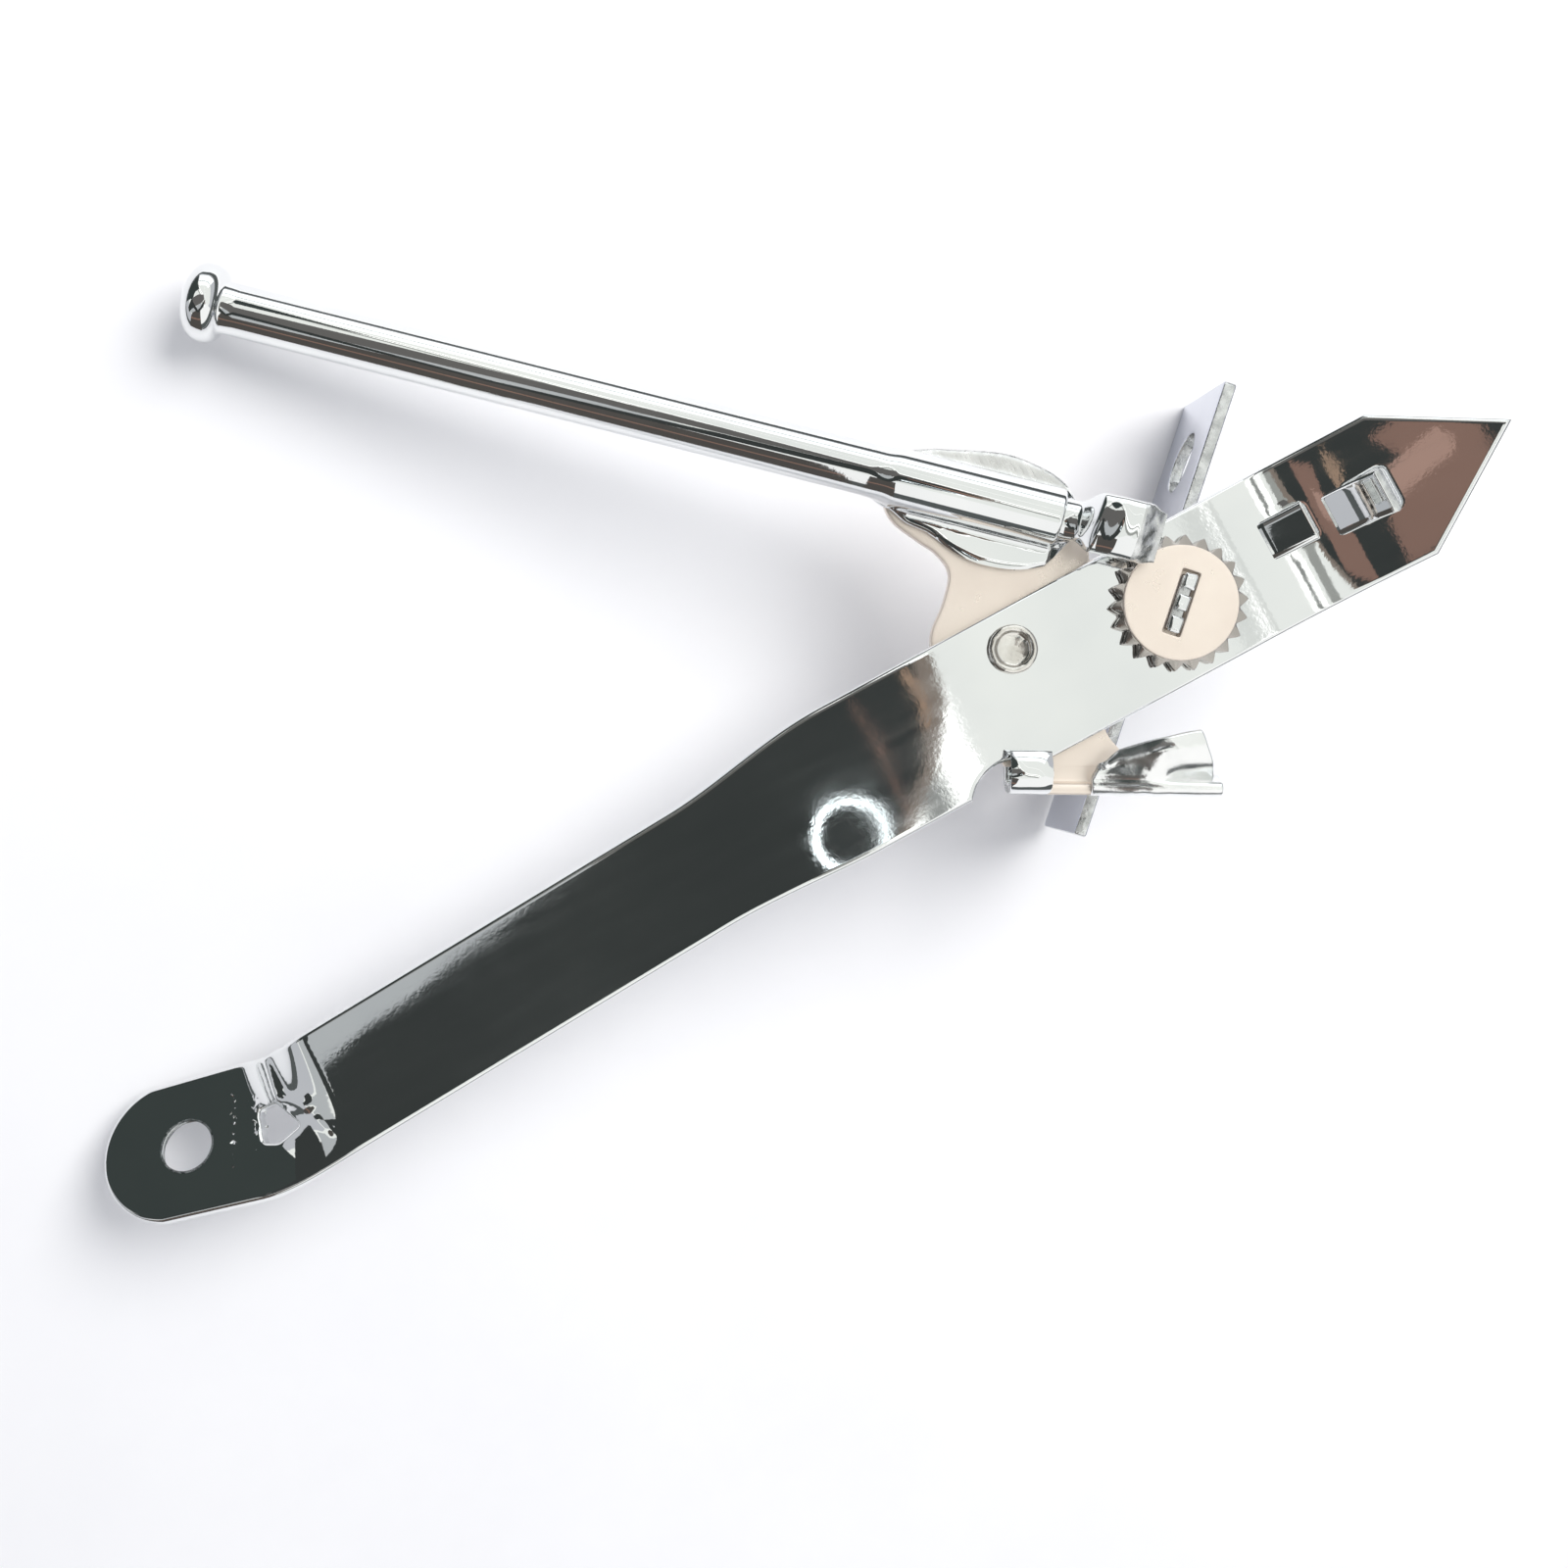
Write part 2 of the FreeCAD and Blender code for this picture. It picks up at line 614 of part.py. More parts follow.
def main():
    shapes = {
        "frame_plate": make_frame_plate(),
        "pivot_rivet": make_pivot_rivet(),
        "pivot_washer": make_pivot_washer(),
        "lever_plate": make_lever_plate(),
        "handle_bar": make_handle_bar(),
        "feed_wheel": make_feed_wheel(),
        "key_washer": make_key_washer(),
        "turning_key": make_turning_key(),
    }
    place = lay_down(shapes)
    os.makedirs("parts", exist_ok=True)
    for node, shape in shapes.items():
        shape.exportStep(f"parts/{node}.step")
        print(node, "valid", shape.isValid(), "solids", len(shape.Solids), "mm3", round(shape.Volume, 2))
    print("placement", place.Base, place.Rotation.Q)


main()
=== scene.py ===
import json
import math

import bmesh
import bpy
import numpy as np
from mathutils import Matrix, Vector, kdtree, noise
from mathutils.geometry import delaunay_2d_cdt


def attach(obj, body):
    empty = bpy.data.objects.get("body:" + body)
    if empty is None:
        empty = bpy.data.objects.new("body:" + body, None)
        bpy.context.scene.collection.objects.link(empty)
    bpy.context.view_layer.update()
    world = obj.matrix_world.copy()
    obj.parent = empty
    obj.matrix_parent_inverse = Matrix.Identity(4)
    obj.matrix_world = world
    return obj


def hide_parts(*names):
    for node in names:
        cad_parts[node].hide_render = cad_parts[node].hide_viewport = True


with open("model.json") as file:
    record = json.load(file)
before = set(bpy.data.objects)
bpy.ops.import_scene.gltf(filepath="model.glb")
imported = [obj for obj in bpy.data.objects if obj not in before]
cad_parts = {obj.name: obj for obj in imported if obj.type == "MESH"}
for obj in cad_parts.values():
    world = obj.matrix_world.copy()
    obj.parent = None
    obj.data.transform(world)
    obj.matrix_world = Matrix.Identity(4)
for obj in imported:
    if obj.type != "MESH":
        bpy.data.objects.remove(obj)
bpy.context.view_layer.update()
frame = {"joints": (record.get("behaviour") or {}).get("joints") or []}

# A fixed seed, so that the roughened surfaces come out the same on every run.
noise.seed_set(7)

# Looks of the hand can opener. Shapes are worked out in the tool frame, in millimetres: origin
# on the pivot axis at the frame plate's front face, +x towards the punching tip, +y towards the
# lever bar, +z out of the front face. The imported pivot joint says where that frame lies.
JOINTS = {joint["name"]: joint for joint in frame["joints"]}
PIVOT = Vector(JOINTS["lever_pivot"]["pos_m"])
AXIS = Vector(JOINTS["lever_pivot"]["axis"])
TURN = Vector((0, 0, 1)).rotation_difference(AXIS)
TOOL = Matrix.Translation(PIVOT) @ TURN.to_matrix().to_4x4() @ Matrix.Scale(0.001, 4)

# ---- sizes -----------------------------------------------------------------------------
SHEET = 1.5
HEAD_TOP = 4.9
HEAD_LOW = -13.8
HANDLE_SLOPE = math.radians(2.8)
HANDLE_WIDTH = 15.5
HEAD_END_X = -24.0
WAIST_X = -46.0
WAIST_TOP = 2.3
TWIST_START_X = -97.0
TWIST_LENGTH = 12.5
END_TILT = math.radians(30)
END_SLOPE = math.radians(13)
END_TOP = (-108.6, 0.1)
END_LOW = (-110.5, -15.2)
END_ARC = ((-119.3, 2.4), (-127.9, -4.2), (-122.8, -12.0))
HANG_HOLE = (-117.2, -5.7)
HANG_HOLE_R = 3.9
LIFTER_WINDOW = [(-107.4, -5.9), (-104.8, -6.4), (-102.9, -9.6), (-106.4, -10.4), (-108.3, -9.6)]
TIP_BEND_X = 29.0
TIP_BEND = math.radians(20)
TIP_BEND_R = 40.0
TIP_SHOULDER_X = 48.6
TIP_APEX = (61.6, -3.6)
NOTCH = (-8.2, -16.9)
NOTCH_R = 5.5
RIVET_HEAD_R = 3.0
RIVET_SHANK_R = 2.2
RIVET_BORE_R = 2.25
RIVET_WASHER_R = 4.0
RIVET_WASHER_T = 0.6
WHEEL = (20.0, -4.6)
WHEEL_TEETH = 22
WHEEL_TIP_R = 8.2
WHEEL_ROOT_R = 7.15
WHEEL_FACE_R = 6.9
WHEEL_FRONT = 2.0
WHEEL_BACK = 0.2
HUB_R = 4.4
KEY_ANGLE = math.atan2(0.683, 0.730)
KEY_LENGTH = 60.0
KEY_WASHER_R = 6.2
KEY_T = 1.6
KEY_TOP = -10.0
KEY_LOW = -29.0
KEY_STEM_W = 7.0
KEY_SHOULDER = -3.0
KEY_SHOULDER_W = 13.0
KEY_HOLE_R = 4.0
KEY_HOLE_INSET = 9.5
LEVER_FRONT = -1.65
LEVER_T = 1.4
FLANGE_OUTER = -17.4
FLANGE_TURN = math.atan2(-0.484, 0.875)
BAR_R = 3.15
BAR_Z = 1.35
BAR_START = Vector((-3.1, 25.2, 0))
BAR_ALONG = Vector((0.737, -0.676, 0)).normalized()
BAR_SIDE = Vector((0.676, 0.737, 0)).normalized()
BAR_LENGTH = 84.0
DOME_R = 4.7
BOSS_END = 20.8
BOSS_ROUND = 0.5
PAD_END = 32.2
PAD_RISE = 0.085
PAD_LEAN = 0.22
FIN_T = 0.9
SECTION_POINTS = 96
CUTTER_START = 9.8
CUTTER_STOP = 24.4

# Pressed ridges of the hang end: height, from, to, width.
RIDGES = [(1.0, (-103.8, -0.9), (-104.1, -5.4), 1.0), (0.42, (-102.8, -6.6), (-101.0, -7.9), 0.9),
          (0.14, (-100.4, -10.0), (-99.5, -11.7), 0.6)]
# Rows of scuffs beside the lifter window: from, to, width.
SCUFFS = [((-109.9, -3.2), (-112.6, -10.4), 0.45), ((-107.7, -4.9), (-109.0, -9.8), 0.4)]

# The eye's place, and the middle, upright direction and width of what it sees.
EYE = Vector((-40, 11, 223))
VIEW_MIDDLE = Vector((-31.8, -1.2, 0))
VIEW_UP = Vector((0.4756, 0.8796, 0)).normalized()
FIELD = 188.2


# ---- small maths -----------------------------------------------------------------------
def smooth(t):
    t = min(1.0, max(0.0, t))
    return t * t * (3 - 2 * t)


def mix(a, b, t):
    return a * (1 - t) + b * t


def curve_through(stations, t):
    """Smooth value at t of a quantity given at a few (t, value) stations."""
    if t <= stations[0][0]:
        return stations[0][1]
    for (t0, v0), (t1, v1) in zip(stations, stations[1:]):
        if t <= t1:
            return mix(v0, v1, smooth((t - t0) / (t1 - t0)))
    return stations[-1][1]


def spline_value(stations, t):
    """As curve_through, with a Catmull-Rom curve, for outlines that have no flats."""
    ts = [s[0] for s in stations]
    vs = [s[1] for s in stations]
    if t <= ts[0]:
        return vs[0]
    if t >= ts[-1]:
        return vs[-1]
    i = max(k for k in range(len(ts) - 1) if ts[k] <= t)
    before = vs[i - 1] if i else vs[i]
    after = vs[i + 2] if i + 2 < len(vs) else vs[i + 1]
    f = (t - ts[i]) / (ts[i + 1] - ts[i])
    m0 = (vs[i + 1] - before) / 2
    m1 = (after - vs[i]) / 2
    return ((2 * f ** 3 - 3 * f ** 2 + 1) * vs[i] + (f ** 3 - 2 * f ** 2 + f) * m0
            + (3 * f ** 2 - 2 * f ** 3) * vs[i + 1] + (f ** 3 - f ** 2) * m1)


def spline_run(points, count):
    """count points along the smooth line through points, ends included."""
    columns = [list(enumerate(column)) for column in zip(*points)]
    return [Vector([spline_value(column, t) for column in columns])
            for t in np.linspace(0, len(points) - 1, count)]


def bezier(p0, d0, p1, d1, t):
    third = (p1 - p0).length / 3
    a, b = p0 + d0 * third, p1 - d1 * third
    return p0 * (1 - t) ** 3 + a * 3 * t * (1 - t) ** 2 + b * 3 * t * t * (1 - t) + p1 * t ** 3


def resample(points, step):
    """A closed loop with corners kept and its long sides divided to at most step."""
    out = []
    for a, b in zip(points, points[1:] + points[:1]):
        pieces = max(1, math.ceil((b - a).length / step))
        out += [a.lerp(b, k / pieces) for k in range(pieces)]
    return out


def circle_loop(centre, radius, count=64, clockwise=True):
    sign = -1 if clockwise else 1
    return [Vector((centre[0] + radius * math.cos(sign * math.tau * k / count),
                    centre[1] + radius * math.sin(sign * math.tau * k / count))) for k in range(count)]


def inside(p, loop):
    xs, ys = loop
    x1, y1 = np.roll(xs, -1), np.roll(ys, -1)
    crossing = (ys > p[1]) != (y1 > p[1])
    if not crossing.any():
        return False
    at = xs[crossing] + (p[1] - ys[crossing]) * (x1[crossing] - xs[crossing]) / (y1[crossing] - ys[crossing])
    return bool((at > p[0]).sum() % 2)


# ---- mesh builders ---------------------------------------------------------------------
def add_rows(bm, rows, closed=True, material=0):
    """Quads between rows of points; each row is a ring when closed."""
    made = [[bm.verts.new(p) for p in row] for row in rows]
    count = len(rows[0])
    for low, high in zip(made, made[1:]):
        for j in range(count if closed else count - 1):
            k = (j + 1) % count
            bm.faces.new((low[j], low[k], high[k], high[j])).material_index = material
    return made


def cap(bm, ring, material=0):
    """Closes a ring of vertices with a fan about its middle."""
    middle = bm.verts.new(sum((v.co for v in ring), Vector()) / len(ring))
    for a, b in zip(ring, ring[1:] + ring[:1]):
        bm.faces.new((a, b, middle)).material_index = material


def loft(bm, sections, material=0, cap_material=0):
    made = add_rows(bm, sections, True, material)
    cap(bm, made[0], cap_material)
    cap(bm, made[-1], cap_material)


def turned(profile, centre, count):
    """A ring of points about centre for each (radius, z) of the profile."""
    return [[Vector((p.x, p.y, z)) for p in circle_loop(centre, r, count, False)] for r, z in profile]


def offset_loop(loop, distance):
    """The loop moved towards the material, which lies on its left."""
    out = []
    for before, here, after in zip(loop[-1:] + loop[:-1], loop, loop[1:] + loop[:1]):
        a, b = (here - before).normalized(), (after - here).normalized()
        na, nb = Vector((-a.y, a.x)), Vector((-b.y, b.x))
        middle = (na + nb).normalized()
        out.append(here + middle * (distance / max(0.4, middle.dot(nb))))
    return out


def fill_flat(bm, loops, place, seeds, material):
    """Triangles over the area inside loops[0] and outside the others, with seed points inside."""
    points, edges = [], []
    for loop in loops:
        first = len(points)
        points += loop
        edges += [(first + k, first + (k + 1) % len(loop)) for k in range(len(loop))]
    tree = kdtree.KDTree(len(points))
    for k, p in enumerate(points):
        tree.insert((p.x, p.y, 0), k)
    tree.balance()
    rings = [(np.array([p.x for p in loop]), np.array([p.y for p in loop])) for loop in loops]

    def in_area(p):
        return inside(p, rings[0]) and not any(inside(p, ring) for ring in rings[1:])

    for x, y, step in seeds:
        if tree.find((x, y, 0))[2] > 0.6 * step and in_area((x, y)):
            points.append(Vector((x, y)))
    verts, _, faces, *_ = delaunay_2d_cdt(points, edges, [], 0, 1e-7)
    made = [bm.verts.new(place(v)) for v in verts]
    for face in faces:
        corners = [verts[k] for k in face]
        middle = sum(corners, Vector((0, 0))) / len(face)
        flat = len(face) == 3 and abs((corners[1] - corners[0]).cross(corners[2] - corners[0])) < 2e-4
        if in_area(middle) and not flat:
            bm.faces.new([made[k] for k in face]).material_index = material


def seed_grid(x0, x1, y0, y1, step):
    """Staggered points over a rectangle, each with its spacing."""
    rows = int((y1 - y0) / (step * 0.866)) + 1
    columns = int((x1 - x0) / step) + 1
    return [(x0 + (i + 0.5 * (j % 2)) * step, y0 + j * step * 0.866, step)
            for j in range(rows) for i in range(columns)]


def add_sheet(bm, loops, lift, thickness, front_r, back_r, seeds=(), material=0, edge_material=0):
    """A sheet with rounded front edges; lift gives the front surface and its normal."""
    def place(depth):
        def at(p):
            surface, normal = lift(p[0], p[1])
            return surface - normal * depth
        return at

    quarter = [math.pi / 2 * k / 5 for k in range(6)]
    rings = [(front_r + 0.25, 0.0)]
    rings += [(front_r * (1 - math.sin(a)), front_r * (1 - math.cos(a))) for a in quarter]
    rings += [(back_r * (1 - math.cos(a)), thickness - back_r * (1 - math.sin(a))) for a in quarter[::2]]
    rings += [(back_r + 0.25, thickness)]
    wall = range(len(quarter) - 1, len(quarter) + 2)
    for loop in loops:
        rows = []
        for inset, depth in rings:
            rows.append([place(depth)(p) for p in offset_loop(loop, inset)])
        made = [[bm.verts.new(p) for p in row] for row in rows]
        for k, (low, high) in enumerate(zip(made, made[1:])):
            index = edge_material if k in wall else material
            for j in range(len(loop)):
                n = (j + 1) % len(loop)
                bm.faces.new((low[j], low[n], high[n], high[j])).material_index = index
    front = [offset_loop(loop, rings[0][0]) for loop in loops]
    back = [offset_loop(loop, rings[-1][0]) for loop in loops]
    fill_flat(bm, front, place(0.0), seeds, material)
    fill_flat(bm, back, place(thickness), seeds, material)


SIDE_POINTS = 5


def add_ribbon(bm, rows, thickness, material=0, end_material=0):
    """A thick strip about a surface of points: rows run along it, each row runs across."""
    def normal(i, j):
        a = rows[min(i + 1, len(rows) - 1)][j] - rows[max(i - 1, 0)][j]
        b = rows[i][min(j + 1, len(rows[0]) - 1)] - rows[i][max(j - 1, 0)]
        return a.cross(b).normalized()

    def ring(i, shift, shrink):
        last = len(rows[0]) - 1
        half = thickness / 2 - shrink
        line = [rows[i][j] + shift for j in range(last + 1)]
        up = [normal(i, j) for j in range(last + 1)]
        right = (line[last] - line[last - 1]).normalized()
        left = (line[0] - line[1]).normalized()
        turns = [math.pi * k / (SIDE_POINTS + 1) for k in range(1, SIDE_POINTS + 1)]
        soft = min(half, 0.35)
        top = [line[j] + up[j] * half for j in range(last + 1)]
        low = [line[j] - up[j] * half for j in range(last, -1, -1)]
        over = [line[last] + up[last] * (half * math.cos(a)) + right * (soft * math.sin(a)) for a in turns]
        under = [line[0] - up[0] * (half * math.cos(a)) + left * (soft * math.sin(a)) for a in turns]
        return top + over + low + under

    start = (rows[0][0] - rows[1][0]).normalized()
    finish = (rows[-1][0] - rows[-2][0]).normalized()
    soften = 0.22
    turns = [math.pi / 2 * k / 3 for k in range(1, 4)]
    head = [ring(0, start * (soften * math.sin(a)), soften * (1 - math.cos(a))) for a in reversed(turns)]
    body = [ring(i, Vector(), 0) for i in range(len(rows))]
    last = len(rows) - 1
    tail = [ring(last, finish * (soften * math.sin(a)), soften * (1 - math.cos(a))) for a in turns]
    made = add_rows(bm, head + body + tail, True, material)
    cap_ribbon(bm, made[0], len(rows[0]) - 1, end_material)
    cap_ribbon(bm, made[-1], len(rows[0]) - 1, end_material)


def cap_ribbon(bm, ring, spans, material):
    """Closes a ribbon's end with quads from its one face to the other."""
    count = len(ring)
    mirror = 2 * spans + SIDE_POINTS + 1
    half = (SIDE_POINTS + 1) // 2
    for k in range(-half, spans + half):
        corners = [ring[i % count] for i in (k, k + 1, mirror - k - 1, mirror - k)]
        bm.faces.new(list(dict.fromkeys(corners))).material_index = material


def roughen(verts, amount, scale, seed=0.0):
    """Moves vertices a little along noise, as a hammered or sheared surface is uneven."""
    for v in verts:
        v.co += noise.noise_vector(v.co * scale + Vector((seed, seed, seed))) * amount


def dent(verts, centre, radius, push):
    """Pushes the vertices round centre, most in the middle."""
    for v in verts:
        v.co += push * math.exp(-((v.co - centre).length / radius) ** 2)


def link(name, data):
    """Puts a new object with this data in the scene."""
    made = bpy.data.objects.new(name, data)
    bpy.context.scene.collection.objects.link(made)
    return made


def finish_piece(name, bm, materials, body, nodes, sharp=38):
    """Turns a tool-frame mesh into a piece in the row frame that rides on its body."""
    bmesh.ops.remove_doubles(bm, verts=bm.verts, dist=1e-4)
    bmesh.ops.recalc_face_normals(bm, faces=bm.faces)
    bm.transform(TOOL)
    mesh = bpy.data.meshes.new(name)
    bm.to_mesh(mesh)
    bm.free()
    for material in materials:
        mesh.materials.append(material)
    mesh.polygons.foreach_set("use_smooth", [True] * len(mesh.polygons))
    mesh.set_sharp_from_angle(angle=math.radians(sharp))
    piece = link(name, mesh)
    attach(piece, body)
    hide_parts(*nodes)
    return piece


# ---- frame plate -----------------------------------------------------------------------
def handle_top(x):
    return WAIST_TOP + (x - WAIST_X) * math.tan(HANDLE_SLOPE)


def handle_low(x):
    return handle_top(x) - HANDLE_WIDTH / math.cos(HANDLE_SLOPE)


ALONG = Vector((-math.cos(HANDLE_SLOPE), -math.sin(HANDLE_SLOPE)))
END_ALONG = Vector((-math.cos(END_SLOPE), math.sin(END_SLOPE)))
TWIST_TOP = (Vector((TWIST_START_X, handle_top(TWIST_START_X))), ALONG, Vector(END_TOP), END_ALONG)
TWIST_LOW = (Vector((TWIST_START_X, handle_low(TWIST_START_X))), ALONG, Vector(END_LOW), END_ALONG)
END_ACROSS = (Vector(END_TOP) - Vector(END_LOW)).normalized()


def twist_place(x, y):
    """How far along the twist a plan point is (0 to 1) and how far across, in millimetres."""
    s = (TWIST_START_X - x) / TWIST_LENGTH
    for _ in range(6):
        low = bezier(*TWIST_LOW, min(1, max(0, s)))
        top = bezier(*TWIST_TOP, min(1, max(0, s)))
        f = (y - low.y) / (top.y - low.y)
        across = low.lerp(top, f)
        s += (across.x - x) / TWIST_LENGTH
        if s > 1:
            return 1.0, (Vector((x, y)) - Vector(END_LOW)).dot(END_ACROSS)
    return max(0.0, s), f * (top - low).length


def bump(x, y, a, b, width):
    """A ridge with a rounded crest along the line from a to b, as a share of its height."""
    p, a, b = Vector((x, y)), Vector(a), Vector(b)
    t = min(1.0, max(0.0, (p - a).dot(b - a) / (b - a).length_squared))
    d = (p - a.lerp(b, t)).length / width
    return math.exp(-d * d)


def plate_height(x, y):
    """Height of the frame plate's front face over the plan."""
    if x > TIP_BEND_X:
        end = TIP_BEND_X + TIP_BEND_R * math.sin(TIP_BEND)
        angle = math.asin(min(x - TIP_BEND_X, end - TIP_BEND_X) / TIP_BEND_R)
        return TIP_BEND_R * (1 - math.cos(angle)) + max(0.0, x - end) * math.tan(TIP_BEND)
    if x > TWIST_START_X + 4:
        return 0.0
    s, across = twist_place(x, y)
    height = -across * math.tan(END_TILT * smooth(s))
    for rise, start, stop, width in RIDGES:
        height += rise * bump(x, y, start, stop, width)
    scuff = sum(bump(x, y, *row) for row in SCUFFS)
    return height + 0.4 * scuff * noise.noise(Vector((x * 1.4, y * 2.9, 0)))


def plate_lift(x, y):
    e = 0.05
    slope_x = (plate_height(x + e, y) - plate_height(x - e, y)) / (2 * e)
    slope_y = (plate_height(x, y + e) - plate_height(x, y - e)) / (2 * e)
    return Vector((x, y, plate_height(x, y))), Vector((-slope_x, -slope_y, 1)).normalized()


def circle_from(a, b, c):
    """Centre and radius of the circle through three plan points."""
    m = Matrix(((2 * (b.x - a.x), 2 * (b.y - a.y)), (2 * (c.x - a.x), 2 * (c.y - a.y))))
    centre = m.inverted() @ Vector((b.dot(b) - a.dot(a), c.dot(c) - a.dot(a)))
    return centre, (a - centre).length


def end_flat(p):
    """A plan point of the hang end, in true size on its own leaning face."""
    d = Vector(p) - Vector(END_LOW)
    side = Vector((-END_ACROSS.y, END_ACROSS.x))
    return Vector((d.dot(side), d.dot(END_ACROSS) / math.cos(END_TILT)))


def end_plan(q):
    side = Vector((-END_ACROSS.y, END_ACROSS.x))
    return Vector(END_LOW) + side * q.x + END_ACROSS * (q.y * math.cos(END_TILT))


def end_arc():
    """The round end of the handle, a true arc on the leaning face, seen in plan."""
    first, middle, last = [end_flat(p) for p in END_ARC]
    centre, radius = circle_from(first, middle, last)
    start, through, stop = [math.atan2(p.y - centre.y, p.x - centre.x) for p in (first, middle, last)]
    sweep = (stop - start) % math.tau
    if (through - start) % math.tau > sweep:
        sweep -= math.tau
    return [end_plan(centre + Vector((math.cos(start + v), math.sin(start + v))) * radius)
            for v in np.linspace(0, sweep, 40)]


def plate_outline():
    """Counter-clockwise from the tip's upper shoulder, with the notch cut in."""
    back = Vector((-1, 0))
    head_top, head_low = Vector((HEAD_END_X, HEAD_TOP)), Vector((HEAD_END_X, HEAD_LOW))
    waist_top = Vector((WAIST_X, handle_top(WAIST_X)))
    waist_low = Vector((WAIST_X, handle_low(WAIST_X)))
    steps = [k / 20 for k in range(21)]
    points = [Vector((TIP_SHOULDER_X, HEAD_TOP)), Vector((TIP_BEND_X, HEAD_TOP))]
    points += [bezier(head_top, back, waist_top, ALONG, t) for t in steps]
    points += [bezier(*TWIST_TOP, t) for t in steps]
    points += end_arc()
    points += [bezier(*TWIST_LOW, t) for t in reversed(steps)]
    points += [bezier(waist_low, -ALONG, head_low, -back, t) for t in steps]
    reach = math.asin((HEAD_LOW - NOTCH[1]) / NOTCH_R)
    for v in np.linspace(math.pi - reach, reach, 24):
        points.append(Vector((NOTCH[0] + NOTCH_R * math.cos(v), NOTCH[1] + NOTCH_R * math.sin(v))))
    points += [Vector((TIP_BEND_X, HEAD_LOW)), Vector((TIP_SHOULDER_X, HEAD_LOW)), Vector(TIP_APEX)]
    return resample(points, 0.8)


def hang_hole():
    loop = circle_loop((0, 0), 1.0, 56)
    return [end_plan(end_flat(HANG_HOLE) + p * HANG_HOLE_R) for p in loop]


def rounded(points, radius, steps=5):
    """A closed polygon with each corner rounded."""
    points = [Vector(p) for p in points]
    out = []
    for before, here, after in zip(points[-1:] + points[:-1], points, points[1:] + points[:1]):
        a = here + (before - here).normalized() * radius
        b = here + (after - here).normalized() * radius
        for k in range(steps + 1):
            t = k / steps
            out.append(a * (1 - t) ** 2 + here * 2 * t * (1 - t) + b * t * t)
    return out


def tip_local(points, x, y):
    """Carries (along, across, lift) points onto the curled tip at plan position x, y."""
    surface, normal = plate_lift(x, y)
    forward = Vector((normal.z, 0, -normal.x))
    return [[surface + forward * p[0] + Vector((0, p[1], 0)) + normal * p[2] for p in row] for row in points]


def catch_rows(path, width):
    """Rows across a pressed tab whose side view is path, for add_ribbon."""
    across = [width * (k / 8 - 0.5) for k in range(9)]
    return [[(x, y, z) for y in across] for x, z in spline_run(path, 28)]


def make_frame_plate():
    bm = bmesh.new()
    rest_hole = rounded([(34.2, -5.3), (34.2, -1.1), (38.3, -1.1), (38.3, -5.3)], 0.6)
    hook_hole = rounded([(43.2, -6.5), (43.2, -1.7), (47.6, -1.7), (47.6, -6.5)], 0.6)
    window = rounded(LIFTER_WINDOW, 0.5)
    loops = [plate_outline(), hang_hole(), resample(window, 0.5), rest_hole, hook_hole]
    seeds = seed_grid(-94, 28, -16, 5, 5.0) + seed_grid(28, 60, -13.5, 4.8, 0.9)
    seeds += seed_grid(-127, -110.4, -15, 3, 2.0) + seed_grid(-110.4, -95, -16, 1.6, 0.5)
    seeds += seed_grid(-113.6, -106.5, -12, -2, 0.3)
    add_sheet(bm, loops, plate_lift, SHEET, 0.45, 0.12, seeds, 0, 0)
    rest = catch_rows([(-3.4, -1.05), (-2.2, -0.35), (-0.5, 0.25), (1.2, 0.75), (2.7, 1.15)], 4.3)
    add_ribbon(bm, tip_local(rest, 35.4, -3.2), 1.2, 0, 1)
    hook = catch_rows([(-4.2, -1.0), (-2.9, -0.2), (-0.6, 0.9), (1.3, 2.3), (2.7, 4.1), (3.1, 4.7)], 4.7)
    add_ribbon(bm, tip_local(hook, 44.0, -4.1), 1.25, 0, 1)
    return finish_piece("frame_plate_chromed", bm, [chrome("plate_chrome"), sheared("sheared_edge")],
                        "frame", ["frame_plate"])


# ---- rivet and washers -----------------------------------------------------------------
def make_pivot_rivet():
    bm = bmesh.new()
    back = LEVER_FRONT - LEVER_T - 0.7
    profile = [(0.01, back - 0.9), (2.3, back - 0.88), (2.8, back - 0.6), (RIVET_HEAD_R, back - 0.1),
               (2.95, back), (RIVET_SHANK_R, back), (RIVET_SHANK_R, 0.05), (2.95, 0.05), (3.0, 0.25),
               (3.0, 0.5), (2.93, 0.72), (2.78, 0.86), (2.58, 0.92), (2.36, 0.9), (2.2, 0.8), (2.08, 0.62),
               (1.98, 0.46), (1.8, 0.37), (1.4, 0.31), (0.8, 0.27), (0.01, 0.26)]
    loft(bm, turned(profile, (0, 0), 96))
    roughen([v for v in bm.verts if v.co.z > 0.2], 0.035, 1.3)
    return finish_piece("pivot_rivet_dished", bm, [worn_nickel("rivet_nickel")],
                        "frame", ["pivot_rivet"])


def make_washer(name, node, body, centre, inner, outer, low, high):
    bm = bmesh.new()
    soft = 0.12
    section = [(inner, low + soft), (inner + soft, low), (outer - soft, low), (outer, low + soft),
               (outer, high - soft), (outer - soft, high), (inner + soft, high), (inner, high - soft)]
    add_rows(bm, turned(section + section[:1], centre, 80))
    return finish_piece(name, bm, [worn_nickel(name + "_steel")], body, [node])


# ---- feed wheel ------------------------------------------------------------------------
def tooth_radius(turn):
    """Outer radius of the wheel at a turn counted in teeth."""
    f = abs((turn % 1.0) - 0.5) * 2
    return mix(WHEEL_TIP_R, WHEEL_ROOT_R, min(1.0, max(0.0, (f - 0.06) / 0.86)))


